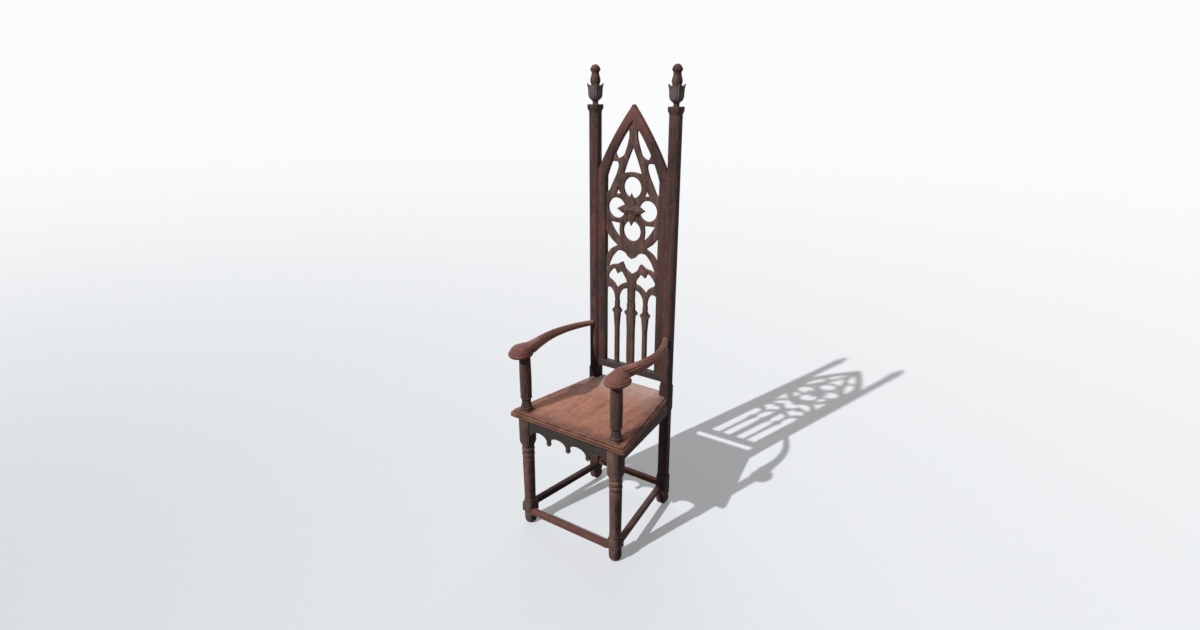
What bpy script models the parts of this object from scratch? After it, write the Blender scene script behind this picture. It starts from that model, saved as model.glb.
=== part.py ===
"""Gothic high-back armchair, built as separate joined pieces. Metres, +Z up, front towards -Y."""

import math

import bmesh
import bpy
from mathutils import Vector

# Fits
CLEARANCE = 0.0003
JOINT_WALL = 0.002
SHOULDER = 0.004
SPIGOT_DIAMETER = 0.018
SPIGOT_DEPTH = 0.040
MORTISE_OVERRUN = 0.002

# Plan of the chair: leg and post axes, measured from the front leg axes
LEG_SPAN = 0.3834
POST_SPAN = 0.320
LEG_TO_POST = 0.388

# Seat board
SEAT_HEIGHT = 0.470
SEAT_THICKNESS = 0.026
SEAT_FRONT_OVERHANG = 0.035
SEAT_SIDE_OVERHANG = 0.0526
SEAT_REAR_INSET = 0.0115
SEAT_CORNER_RADIUS = 0.010
SEAT_EDGE_FLAT = 0.009
SEAT_EDGE_MOULDING = 0.014
SEAT_UNDER_BEVEL = 0.004

# Front legs
LEG_BLOCK = 0.044
LEG_EDGE_SOFT = 0.002
LEG_TOP_BLOCK = 0.097
LEG_TOP_TAPER = 0.021
LEG_RING_DIAMETER = 0.047
LEG_RING_HEIGHT = 0.021
LEG_GROOVE_DIAMETER = 0.041
LEG_SHAFT_TOP_DIAMETER = 0.0445
LEG_SHAFT_FOOT_DIAMETER = 0.0415
LEG_FLARE = 0.028
LEG_LOWER_BLOCK = 0.036
LEG_FOOT_HEIGHT = 0.050
LEG_FOOT_DIAMETER = 0.042
FOOT_PAD_SHARE = 0.6

# Rear posts, caps and finials
POST_SIZE = 0.038
POST_BLOCK_SIZE = 0.039
POST_CHAMFER = 0.007
POST_EDGE_SOFT = 0.0015
POST_STOP = 0.010
POST_FOOT_HEIGHT = 0.045
POST_LOWER_BLOCK = 0.077
POST_BASE_ABOVE_SEAT = 0.037
POST_ABOVE_SEAT = 1.008
CAP_SIZE = 0.0415
CAP_FLARE = 0.013
CAP_BLOCK = 0.014
FINIAL_SPIGOT_DIAMETER = 0.014
FINIAL_STEM_DIAMETER = 0.020
FINIAL_STEM = 0.012
FINIAL_CALYX_DIAMETER = 0.047
FINIAL_CALYX_FLARE = 0.015
FINIAL_CALYX_BODY = 0.026
FINIAL_LEAF_DIAMETER = 0.059
FINIAL_LEAF_RISE = 0.019
FINIAL_BULB_RISE = 0.014
FINIAL_BULB_DIAMETER = 0.0346
FINIAL_BULB_HEIGHT = 0.033
FINIAL_NECK_DIAMETER = 0.0234
FINIAL_NECK = 0.004
FINIAL_BUD_DIAMETER = 0.0326
FINIAL_BUD_HEIGHT = 0.027
FINIAL_BUD_CUT = 0.76
FINIAL_TIP_SHARE = 0.2
FINIAL_FLARE_SHARE = 0.8
FINIAL_LIP_SHARE = 0.55
FINIAL_CUP_SHARE = 0.45

# Arm supports and arms
SUPPORT_BASE_SIZE = 0.042
SUPPORT_BASE_BLOCK = 0.012
SUPPORT_BASE_SLOPE = 0.016
SUPPORT_NECK_DIAMETER = 0.032
SUPPORT_NECK = 0.021
SUPPORT_COLLAR = 0.004
SUPPORT_DIAMETER = 0.040
SUPPORT_HOUSING = 0.006
SUPPORT_TENON = 0.016
ARM_ABOVE_SEAT = 0.229
ARM_REAR_DIAMETER = 0.016
ARM_FRONT_DIAMETER = 0.043
ARM_BOW = 0.0358
ARM_BOW_SKEW = 0.9
ARM_TENON_DIAMETER = 0.010
ARM_TENON = 0.020
HAND_DIAMETER = 0.084
HAND_OUTWARD = 0.0105
HAND_FORWARD = 0.0105
HAND_RIM_DROP = 0.009
HAND_DOME = 0.034
HAND_UNDER = 0.012
HAND_BLUNTNESS = 0.6
HAND_SECTIONS = (45, 65, 85, 105, 125, 143, 158, 171)

# Rails and apron under the seat
RAIL_HEIGHT = 0.046
RAIL_THICKNESS = 0.020
RAIL_SETBACK = 0.0005
APRON_THICKNESS = 0.014
APRON_SETBACK = 0.0045
APRON_HEIGHT = 0.040
APRON_BAYS = 4
ARCH_CORNER_RADIUS = 0.022
PENDANT_NECK_WIDTH = 0.010
PENDANT_KNOB_WIDTH = 0.017
PENDANT_KNOB_HEIGHT = 0.018
CORNER_BLOCK = 0.030

# Stretchers near the floor
STRETCHER_SIZE = 0.017
REAR_STRETCHER_SIZE = 0.020
FRONT_STRETCHER_HEIGHT = 0.058
FRONT_STRETCHER_SETBACK = 0.0005
SIDE_STRETCHER_HEIGHT = 0.066
SIDE_STRETCHER_OUTWARD = 0.0063
SIDE_STRETCHER_INWARD = 0.010
REAR_STRETCHER_HEIGHT = 0.0825

# Pointed frame of the back
BACK_DEPTH = 0.021
BACK_GAP = 0.0535
BACK_RAIL_HEIGHT = 0.028
JAMB_WIDTH = 0.0305
JAMB_HEIGHT = 0.7105
ARCH_INNER_RISE = 0.195
ARCH_INNER_RADIUS = 0.607
ARCH_OUTER_RISE = 0.247
ARCH_OUTER_RADIUS = 1.135
ARCH_SHOULDER_RISE = 0.022
FRAME_TENON = 0.010
DOWEL_DIAMETER = 0.008
DOWEL_LENGTH = 0.020
DOWEL_END_DISTANCE = 0.060

# Tracery panel, mullions and rosette
TRACERY_THICKNESS = 0.011
TRACERY_TONGUE = 0.005
TRACERY_DROP = 0.457
LIGHT_HEAD_STEP = 0.001
MULLION_DEPTH = 0.015
MULLION_TENON_WIDTH = 0.008
MULLION_TENON_DEPTH = 0.006
MULLION_COLLAR_DROP = 0.039
MULLION_COLLAR_HEIGHT = 0.026
MULLION_TAPER = 0.055
SIDE_MULLION_WIDTH = 0.0155
SIDE_COLLAR_WIDTH = 0.040
SIDE_SWELL_WIDTH = 0.025
CENTRE_MULLION_WIDTH = 0.0295
CENTRE_COLLAR_WIDTH = 0.055
CENTRE_SWELL_WIDTH = 0.034
ROSETTE_RADIUS = 0.059
ROSETTE_WAIST = 0.019
ROSETTE_RELIEF = 0.010
ROSETTE_PIN_DIAMETER = 0.010
PETAL_SHARPNESS = 2.2
# Relief of the petals as (share of the relief, share of the radius)
PETAL_LEVELS = ((0.0, 1.0), (0.35, 0.92), (0.8, 0.55), (1.0, 0.2))

# Fineness of the round shapes
CORNER_POINTS = 5
POST_CORNER_POINTS = 3
FINIAL_POINTS = 32
ARM_POINTS = 16
CURVE_STEPS = 4
ARM_STEPS = 12
ARCH_STEPS = 12
SHARP_EDGE_DEGREES = 35

# The tracery is drawn in millimetres from the centre line and the springing line, at this size
DRAWN_LIGHT_HALF = 110.5
DRAWN_ARCH_RISE = 195.0
DRAWN_DROP = 457.0
DRAWN_JAMB_FOOT = 416.0
DRAWN_ROSE_DROP = 109.0
DRAWN_LOBE_RADIUS = 36.5
DRAWN_LOBE_RISE = 77.5
DRAWN_LOBE_SIDE = 65.0
DRAWN_MULLION_PLACE = 61.0

# Wood colours, linear
FRAME_WOOD = (0.105, 0.058, 0.045)
SEAT_WOOD = (0.340, 0.170, 0.125)
ARM_WOOD = (0.215, 0.095, 0.075)
TRACERY_WOOD = (0.120, 0.070, 0.058)
WOOD_ROUGHNESS = 0.5

# Places worked out from the sizes above
LEG_X = LEG_SPAN / 2
POST_X = POST_SPAN / 2
SEAT_UNDERSIDE = SEAT_HEIGHT - SEAT_THICKNESS
LEG_INNER = LEG_X - LEG_BLOCK / 2
POST_INNER = POST_X - POST_BLOCK_SIZE / 2
POST_FRONT = LEG_TO_POST - POST_BLOCK_SIZE / 2
RAIL_BOTTOM = SEAT_UNDERSIDE - CLEARANCE - RAIL_HEIGHT
POST_TOP = SEAT_HEIGHT + POST_ABOVE_SEAT
CAP_TOP = POST_TOP + CLEARANCE + CAP_FLARE + CAP_BLOCK
ARM_Z = SEAT_HEIGHT + ARM_ABOVE_SEAT
HAND_BACK = HAND_DIAMETER / 2 - HAND_FORWARD
HAND_RIM = ARM_Z - HAND_RIM_DROP
SUPPORT_TOP = HAND_RIM - HAND_UNDER + SUPPORT_HOUSING
BACK_RAIL_TOP = SEAT_HEIGHT + BACK_GAP + BACK_RAIL_HEIGHT
SPRING = BACK_RAIL_TOP + JAMB_HEIGHT
FRAME_HALF = POST_X - POST_SIZE / 2 - CLEARANCE
LIGHT_HALF = FRAME_HALF - JAMB_WIDTH
LIGHT_SCALE = LIGHT_HALF / DRAWN_LIGHT_HALF
RISE_SCALE = ARCH_INNER_RISE / DRAWN_ARCH_RISE
DROP_SCALE = TRACERY_DROP / DRAWN_DROP
MULLION_TOP = SPRING - TRACERY_DROP
JAMB_FOOT = SPRING - DRAWN_JAMB_FOOT * DROP_SCALE
ROSE_HEIGHT = SPRING - DRAWN_ROSE_DROP * DROP_SCALE
SIDE_MULLION_X = DRAWN_MULLION_PLACE * LIGHT_SCALE
RAIL_TENON_IN_LEG = LEG_BLOCK / 2 - SPIGOT_DIAMETER / 2 - JOINT_WALL - 2 * CLEARANCE
RAIL_TENON_IN_POST = POST_BLOCK_SIZE / 2 - RAIL_THICKNESS / 2 + SHOULDER - JOINT_WALL - 2 * CLEARANCE
STRETCHER_TENON = POST_BLOCK_SIZE / 2 - REAR_STRETCHER_SIZE / 2 + SHOULDER - JOINT_WALL - 2 * CLEARANCE
SIDES = (("left", -1), ("right", 1))


def remove_scene_objects():
    for item in list(bpy.data.objects):
        bpy.data.objects.remove(item, do_unlink=True)


def wood(name, colour):
    """Principled material of one piece."""
    material = bpy.data.materials.new(name)
    material.use_nodes = True
    shader = material.node_tree.nodes["Principled BSDF"]
    shader.inputs["Base Color"].default_value = (*colour, 1.0)
    shader.inputs["Roughness"].default_value = WOOD_ROUGHNESS
    shader.inputs["Metallic"].default_value = 0.0
    return material


def loft(rings):
    """Closed solid through rings that have the same number of points."""
    bm = bmesh.new()
    rows = [[bm.verts.new(point) for point in ring] for ring in rings]
    for lower, upper in zip(rows, rows[1:]):
        for index in range(len(lower)):
            after = (index + 1) % len(lower)
            bm.faces.new((lower[index], lower[after], upper[after], upper[index]))
    bm.faces.new(rows[0])
    bm.faces.new(rows[-1])
    bmesh.ops.recalc_face_normals(bm, faces=bm.faces)
    return bm


def prism(loops, front, back):
    """Board with its outline and openings drawn in the XZ plane, between two Y planes."""
    bm = bmesh.new()
    edges = []
    for points in loops:
        row = [bm.verts.new((point.x, front, point.z)) for point in points]
        edges += [bm.edges.new((row[i - 1], row[i])) for i in range(len(row))]
    filled = bmesh.ops.triangle_fill(bm, use_beauty=True, edges=edges)
    faces = [item for item in filled["geom"] if isinstance(item, bmesh.types.BMFace)]
    grown = bmesh.ops.extrude_face_region(bm, geom=faces)
    moved = [item for item in grown["geom"] if isinstance(item, bmesh.types.BMVert)]
    bmesh.ops.translate(bm, verts=moved, vec=(0, back - front, 0))
    bmesh.ops.recalc_face_normals(bm, faces=bm.faces)
    return bm


def add_object(name, bm, colour=FRAME_WOOD, place=(0, 0, 0)):
    mesh = bpy.data.meshes.new(name)
    bm.to_mesh(mesh)
    bm.free()
    mesh.materials.append(wood(name + "_wood", colour))
    piece = bpy.data.objects.new(name, mesh)
    piece.location = place
    bpy.context.scene.collection.objects.link(piece)
    return piece


def combine(piece, tool_bm, operation):
    """Apply one Boolean to a piece; the tool is drawn in the chair's own frame."""
    mesh = bpy.data.meshes.new("tool")
    tool_bm.to_mesh(mesh)
    tool_bm.free()
    tool = bpy.data.objects.new("tool", mesh)
    bpy.context.scene.collection.objects.link(tool)
    modifier = piece.modifiers.new("joint", "BOOLEAN")
    modifier.operation = operation
    modifier.solver = "EXACT"
    modifier.object = tool
    graph = bpy.context.evaluated_depsgraph_get()
    shaped = bpy.data.meshes.new_from_object(piece.evaluated_get(graph))
    piece.modifiers.clear()
    piece.data = shaped
    bpy.data.objects.remove(tool, do_unlink=True)


def corner_ring(size, corner, z, points, rounded=True, x=0.0, y=0.0):
    """Square ring with rounded or chamfered corners; a corner of half the size makes a circle."""
    inner = size / 2 - corner
    ring = []
    for quarter in range(4):
        turn = quarter * math.pi / 2
        for step in range(points):
            if rounded:
                angle = (step + 0.5) / points * math.pi / 2
                along = (inner + corner * math.cos(angle), inner + corner * math.sin(angle))
            else:
                share = step / (points - 1)
                along = (inner + corner * (1 - share), inner + corner * share)
            across = along[0] * math.cos(turn) - along[1] * math.sin(turn)
            deep = along[0] * math.sin(turn) + along[1] * math.cos(turn)
            ring.append(Vector((x + across, y + deep, z)))
    return ring


def round_ring(diameter, z, points=CORNER_POINTS, x=0.0, y=0.0):
    return corner_ring(diameter, diameter / 2, z, points, True, x, y)


def drill(piece, x, y, low, high, diameter):
    """Round upright hole with the fit clearance round its spigot."""
    wide = diameter + 2 * CLEARANCE
    combine(piece, loft([round_ring(wide, z, x=x, y=y) for z in (low, high)]), "DIFFERENCE")


def box_rings(low, high):
    return [[Vector((low[0], low[1], z)), Vector((high[0], low[1], z)),
             Vector((high[0], high[1], z)), Vector((low[0], high[1], z))] for z in (low[2], high[2])]


def bar_ring(axis, centre, width, height):
    """Rectangle across a bar that runs along X (axis 0) or Y (axis 1)."""
    across = Vector((0, 1, 0)) if axis == 0 else Vector((1, 0, 0))
    rise = Vector((0, 0, height / 2))
    reach = across * width / 2
    return [centre - reach - rise, centre + reach - rise, centre + reach + rise, centre - reach + rise]


def make_bar(name, axis, start, end, size, tenons, hosts):
    """Bar between two faces, with a tenon at each end and its mortise in each host."""
    run = (end - start) / abs(end[axis] - start[axis])
    thin = (size[0] - 2 * SHOULDER, size[1] - 2 * SHOULDER)
    tips = (start - run * tenons[0], end + run * tenons[1])
    stations = ((tips[0], thin), (start, thin), (start, size), (end, size), (end, thin), (tips[1], thin))
    bar = add_object(name, loft([bar_ring(axis, centre, *wide) for centre, wide in stations]))
    loose = (thin[0] + 2 * CLEARANCE, thin[1] + 2 * CLEARANCE)
    for face, tip, host in zip((start, end), tips, hosts):
        outward = (tip - face).normalized()
        mouth = face - outward * MORTISE_OVERRUN
        floor = tip + outward * CLEARANCE
        cutter = loft([bar_ring(axis, mouth, *loose), bar_ring(axis, floor, *loose)])
        combine(host, cutter, "DIFFERENCE")
    return bar


def upright_ring(x, z, width, depth):
    """Rectangle across an upright that stands in the plane of the back."""
    low_y = LEG_TO_POST - depth / 2
    high_y = LEG_TO_POST + depth / 2
    return [Vector((x - width / 2, low_y, z)), Vector((x + width / 2, low_y, z)),
            Vector((x + width / 2, high_y, z)), Vector((x - width / 2, high_y, z))]


def cut_upright_mortise(host, x, low, high, width, depth):
    loose = (width + 2 * CLEARANCE, depth + 2 * CLEARANCE)
    combine(host, loft([upright_ring(x, z, *loose) for z in (low, high)]), "DIFFERENCE")


def smooth_stretch(points, steps=CURVE_STEPS):
    """Points on a soft curve through the given ones, without the last."""
    padded = [points[0] * 2 - points[1]] + points + [points[-1] * 2 - points[-2]]
    curve = []
    for before, start, end, after in zip(padded, padded[1:], padded[2:], padded[3:]):
        for step in range(steps):
            t = step / steps
            curve.append(0.5 * (2 * start + (end - before) * t
                                + (2 * before - 5 * start + 4 * end - after) * t ** 2
                                + (3 * start - before - 3 * end + after) * t ** 3))
    return curve


def outline(*stretches):
    """Closed outline from soft stretches that meet at sharp corners."""
    return [point for stretch in stretches for point in smooth_stretch(stretch)]


def mirrored(points):
    return [Vector((-point.x, point.y, point.z)) for point in reversed(points)]


def foot_levels(size, height):
    """Rounded foot from its flat pad up, as (height, diameter) pairs."""
    levels = []
    for share in (0.0, 0.06, 0.2, 0.5, 1.0):
        swell = math.sqrt(1 - (1 - share) ** 2)
        levels.append((height * share, size * (FOOT_PAD_SHARE + (1 - FOOT_PAD_SHARE) * swell)))
    return levels


def bead_rings(top, height, groove, crest):
    """Turned bead between two grooves, from the top down."""
    rings = []
    for share in (0.0, 0.2, 0.5, 0.8):
        swell = math.sqrt(math.sin(math.pi * share))
        rings.append(round_ring(groove + (crest - groove) * swell, top - height * share))
    return rings


def make_front_leg(name, side):
    top = SEAT_UNDERSIDE - CLEARANCE
    block_low = top - LEG_TOP_BLOCK
    beads_top = block_low - LEG_TOP_TAPER
    shaft_top = beads_top - 2 * LEG_RING_HEIGHT
    lower_top = LEG_FOOT_HEIGHT + LEG_LOWER_BLOCK

    def block(z):
        return corner_ring(LEG_BLOCK, LEG_EDGE_SOFT, z, CORNER_POINTS)

    rings = [block(top), block(block_low)]
    for bead_top in (beads_top, beads_top - LEG_RING_HEIGHT):
        rings += bead_rings(bead_top, LEG_RING_HEIGHT, LEG_GROOVE_DIAMETER, LEG_RING_DIAMETER)
    rings += [round_ring(LEG_GROOVE_DIAMETER, shaft_top),
              round_ring(LEG_SHAFT_TOP_DIAMETER, shaft_top - SHOULDER / 2),
              round_ring(LEG_SHAFT_FOOT_DIAMETER, lower_top + LEG_FLARE),
              block(lower_top), block(LEG_FOOT_HEIGHT)]
    rings += [round_ring(wide, z) for z, wide in reversed(foot_levels(LEG_FOOT_DIAMETER, LEG_FOOT_HEIGHT))]
    leg = add_object(name, loft(rings), place=(side * LEG_X, 0, 0))
    drill(leg, side * LEG_X, 0, SEAT_UNDERSIDE - SPIGOT_DEPTH - CLEARANCE, SEAT_HEIGHT, SPIGOT_DIAMETER)
    return leg


def make_rear_post(name, side):
    def square(z):
        return corner_ring(POST_BLOCK_SIZE, POST_EDGE_SOFT, z, POST_CORNER_POINTS, False)

    def chamfered(z):
        return corner_ring(POST_SIZE, POST_CHAMFER, z, POST_CORNER_POINTS, False)

    lower_top = POST_FOOT_HEIGHT + POST_LOWER_BLOCK
    base_low = RAIL_BOTTOM - SHOULDER
    base_top = SEAT_HEIGHT + POST_BASE_ABOVE_SEAT
    foot = foot_levels(POST_SIZE, POST_FOOT_HEIGHT)
    rings = [round_ring(wide, z, POST_CORNER_POINTS) for z, wide in foot]
    rings += [square(POST_FOOT_HEIGHT), square(lower_top), chamfered(lower_top + POST_STOP),
              chamfered(base_low - POST_STOP), square(base_low), square(base_top),
              chamfered(base_top + POST_STOP), chamfered(POST_TOP)]
    post = add_object(name, loft(rings), place=(side * POST_X, LEG_TO_POST, 0))
    hole_low = POST_TOP - SPIGOT_DEPTH - CLEARANCE
    drill(post, side * POST_X, LEG_TO_POST, hole_low, CAP_TOP, FINIAL_SPIGOT_DIAMETER)
    return post


def make_post_cap(name, side):
    low = POST_TOP + CLEARANCE
    rings = [corner_ring(POST_SIZE, POST_CHAMFER, low, POST_CORNER_POINTS, False),
             corner_ring(CAP_SIZE, POST_EDGE_SOFT, low + CAP_FLARE, POST_CORNER_POINTS, False),
             corner_ring(CAP_SIZE, POST_EDGE_SOFT, CAP_TOP, POST_CORNER_POINTS, False)]
    cap = add_object(name, loft(rings), place=(side * POST_X, LEG_TO_POST, 0))
    drill(cap, side * POST_X, LEG_TO_POST, POST_TOP, CAP_TOP + MORTISE_OVERRUN, FINIAL_SPIGOT_DIAMETER)
    return cap


def leaf_ring(diameter, z, tip_diameter=0.0, tip_rise=0.0):
    """Ring that reaches out and up at its four corners, where the leaf tips are."""
    ring = []
    for index in range(FINIAL_POINTS):
        angle = (index + 0.5) / FINIAL_POINTS * 2 * math.pi
        leaf = math.sin(2 * angle) ** 2
        radius = diameter / 2 + max(tip_diameter - diameter, 0) / 2 * leaf
        ring.append(Vector((radius * math.cos(angle), radius * math.sin(angle), z + tip_rise * leaf)))
    return ring


def make_finial(name, side):
    base = CAP_TOP + CLEARANCE
    stem_top = base + FINIAL_STEM
    calyx_low = stem_top + FINIAL_CALYX_FLARE
    calyx_top = calyx_low + FINIAL_CALYX_BODY
    bulb_low = calyx_top + FINIAL_BULB_RISE
    bulb_top = bulb_low + FINIAL_BULB_HEIGHT
    bud_low = bulb_top + FINIAL_NECK
    rings = [leaf_ring(FINIAL_SPIGOT_DIAMETER, POST_TOP - SPIGOT_DEPTH),
             leaf_ring(FINIAL_SPIGOT_DIAMETER, base),
             leaf_ring(FINIAL_STEM_DIAMETER, base),
             leaf_ring(FINIAL_STEM_DIAMETER, stem_top),
             leaf_ring(FINIAL_CALYX_DIAMETER * FINIAL_FLARE_SHARE, (stem_top + calyx_low) / 2),
             leaf_ring(FINIAL_CALYX_DIAMETER, calyx_low),
             leaf_ring(FINIAL_CALYX_DIAMETER, calyx_top),
             leaf_ring(FINIAL_CALYX_DIAMETER, calyx_top + FINIAL_LEAF_RISE * FINIAL_LIP_SHARE,
                       FINIAL_LEAF_DIAMETER, FINIAL_LEAF_RISE * (1 - FINIAL_LIP_SHARE)),
             leaf_ring(FINIAL_BULB_DIAMETER, calyx_top + FINIAL_LEAF_RISE * FINIAL_CUP_SHARE)]
    for share in (0.25, 0.55, 0.85):
        swell = math.sqrt(math.sin(math.pi * share))
        rings.append(leaf_ring(FINIAL_BULB_DIAMETER * swell, bulb_low + FINIAL_BULB_HEIGHT * share))
    rings.append(leaf_ring(FINIAL_NECK_DIAMETER, bud_low))
    for share in (0.2, 0.45, 0.7, 0.88, 1.0):
        level = (1 + FINIAL_BUD_CUT) * share - FINIAL_BUD_CUT
        swell = math.sqrt(max(1 - level ** 2, FINIAL_TIP_SHARE ** 2))
        rings.append(leaf_ring(FINIAL_BUD_DIAMETER * swell, bud_low + FINIAL_BUD_HEIGHT * share))
    return add_object(name, loft(rings), place=(side * POST_X, LEG_TO_POST, 0))


def make_arm_support(name, side):
    base = SEAT_HEIGHT + CLEARANCE
    slope = base + SUPPORT_BASE_BLOCK
    neck = slope + SUPPORT_BASE_SLOPE
    collar = neck + SUPPORT_NECK
    rings = [round_ring(SPIGOT_DIAMETER, SEAT_UNDERSIDE - SPIGOT_DEPTH),
             round_ring(SPIGOT_DIAMETER, base),
             corner_ring(SUPPORT_BASE_SIZE, LEG_EDGE_SOFT, base, CORNER_POINTS),
             corner_ring(SUPPORT_BASE_SIZE, LEG_EDGE_SOFT, slope, CORNER_POINTS),
             round_ring(SUPPORT_NECK_DIAMETER, neck),
             round_ring(SUPPORT_NECK_DIAMETER, collar),
             round_ring(SUPPORT_DIAMETER, collar + SUPPORT_COLLAR),
             round_ring(SUPPORT_DIAMETER, SUPPORT_TOP),
             round_ring(SPIGOT_DIAMETER, SUPPORT_TOP),
             round_ring(SPIGOT_DIAMETER, SUPPORT_TOP + SUPPORT_TENON)]
    return add_object(name, loft(rings), ARM_WOOD, place=(side * LEG_X, 0, 0))


def oval_ring(centre, heading, width, rise, drop, flatten=1.0):
    """Oval across a piece, square to its heading in plan, with its own rise and drop."""
    across = Vector((-heading.y, heading.x, 0)).normalized()
    ring = []
    for index in range(ARM_POINTS):
        angle = (index + 0.5) / ARM_POINTS * 2 * math.pi
        height = math.sin(angle)
        level = rise * height if height > 0 else -drop * abs(height) ** flatten
        ring.append(centre + across * width / 2 * math.cos(angle) + Vector((0, 0, level)))
    return ring


def pin_ring(centre, heading, diameter):
    """Round ring across a level pin."""
    return oval_ring(centre, heading, diameter, diameter / 2, diameter / 2)


def arm_place(share):
    """Point on the bowed centre line, from the post at 0 to the hand-hold at 1."""
    rear = LEG_TO_POST - POST_SIZE / 2 - CLEARANCE
    bow = ARM_BOW * math.sin(math.pi * share ** ARM_BOW_SKEW)
    return Vector((POST_X + (LEG_X - POST_X) * share + bow, rear + (HAND_BACK - rear) * share, ARM_Z))


def arm_rings():
    """Sections of the right arm from its tenon in the post to the tip of the hand-hold."""
    forward = Vector((0, -1, 0))
    rear = arm_place(0)
    rings = [pin_ring(rear - forward * ARM_TENON, forward, ARM_TENON_DIAMETER),
             pin_ring(rear, forward, ARM_TENON_DIAMETER),
             pin_ring(rear, forward, ARM_REAR_DIAMETER)]
    for step in range(1, ARM_STEPS + 1):
        share = step / ARM_STEPS
        heading = arm_place(share) - arm_place(share - 1 / ARM_STEPS)
        rings.append(pin_ring(arm_place(share), heading,
                              ARM_REAR_DIAMETER + (ARM_FRONT_DIAMETER - ARM_REAR_DIAMETER) * share))
    for degrees in HAND_SECTIONS:
        angle = math.radians(degrees)
        place = Vector((LEG_X + HAND_OUTWARD * min(1 - math.cos(angle), 1),
                        HAND_DIAMETER / 2 * math.cos(angle) - HAND_FORWARD, HAND_RIM))
        blunt = 1.0 if degrees < 90 else math.sin(angle) ** HAND_BLUNTNESS
        rings.append(oval_ring(place, forward, HAND_DIAMETER * math.sin(angle),
                               HAND_DOME * blunt, HAND_UNDER * blunt, HAND_BLUNTNESS))
    return rings


def make_arm(name, side, post):
    rings = arm_rings()
    if side < 0:
        rings = [mirrored(ring) for ring in rings]
    arm = add_object(name, loft(rings), ARM_WOOD)
    below = HAND_RIM - HAND_DOME
    housing = SUPPORT_TOP + CLEARANCE
    drill(arm, side * LEG_X, 0, below, housing, SUPPORT_DIAMETER)
    drill(arm, side * LEG_X, 0, below, housing + SUPPORT_TENON, SPIGOT_DIAMETER)
    face = Vector((side * POST_X, LEG_TO_POST - POST_SIZE / 2, ARM_Z))
    back = Vector((0, 1, 0))
    hole = [pin_ring(face + back * reach, back, ARM_TENON_DIAMETER + 2 * CLEARANCE)
            for reach in (-MORTISE_OVERRUN, ARM_TENON)]
    combine(post, loft(hole), "DIFFERENCE")
    return arm


def soft_corner(corner, before, after):
    """Points round one front corner of the seat."""
    first = corner + (before - corner).normalized() * SEAT_CORNER_RADIUS
    last = corner + (after - corner).normalized() * SEAT_CORNER_RADIUS
    return [first * (1 - t) ** 2 + corner * 2 * t * (1 - t) + last * t ** 2 for t in (0.0, 0.33, 0.67, 1.0)]


def seat_ring(inset, z):
    """Seat outline, drawn in from its front and sides, with the notches for the posts."""
    back = LEG_TO_POST + POST_BLOCK_SIZE / 2
    front = inset - SEAT_FRONT_OVERHANG
    wide = LEG_X + SEAT_SIDE_OVERHANG - inset
    narrow = POST_X + POST_BLOCK_SIZE / 2 - SEAT_REAR_INSET - inset
    notch_front = POST_FRONT - CLEARANCE
    notch_side = POST_INNER - CLEARANCE
    side_end = Vector((wide + (narrow - wide) * (notch_front - front) / (back - front), notch_front, z))
    right = soft_corner(Vector((wide, front, z)), Vector((-wide, front, z)), side_end)
    right += [side_end, Vector((notch_side, notch_front, z)), Vector((notch_side, back, z))]
    return right + mirrored(right)


def make_seat(name):
    flat_low = SEAT_UNDERSIDE + SEAT_UNDER_BEVEL
    flat_high = flat_low + SEAT_EDGE_FLAT
    rings = [seat_ring(SEAT_UNDER_BEVEL, SEAT_UNDERSIDE), seat_ring(0, flat_low)]
    for degrees in (0, 30, 60, 90):
        angle = math.radians(degrees)
        rings.append(seat_ring(SEAT_EDGE_MOULDING * (1 - math.cos(angle)),
                               flat_high + (SEAT_HEIGHT - flat_high) * math.sin(angle)))
    seat = add_object(name, loft(rings), SEAT_WOOD)
    low = SEAT_UNDERSIDE - SEAT_THICKNESS
    high = SEAT_HEIGHT + SEAT_THICKNESS
    for _, side in SIDES:
        drill(seat, side * LEG_X, 0, low, high, SPIGOT_DIAMETER)
    return seat


def pendant_profile():
    """Half a pendant and half an arch, from the pendant's tip to the arch's crown."""
    crown = SEAT_UNDERSIDE - APRON_HEIGHT
    spring = crown - ARCH_CORNER_RADIUS
    neck = PENDANT_NECK_WIDTH / 2
    knob = PENDANT_KNOB_WIDTH / 2
    points = [(knob * math.sin(angle), spring - PENDANT_KNOB_HEIGHT * (1 + math.cos(angle)) / 2)
              for angle in (0.0, 0.8, 1.57, 2.2)]
    for degrees in (0, 22.5, 45, 67.5, 90):
        angle = math.radians(degrees)
        across = neck + ARCH_CORNER_RADIUS * (1 - math.cos(angle))
        points.append((across, spring + ARCH_CORNER_RADIUS * math.sin(angle)))
    return points


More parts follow.
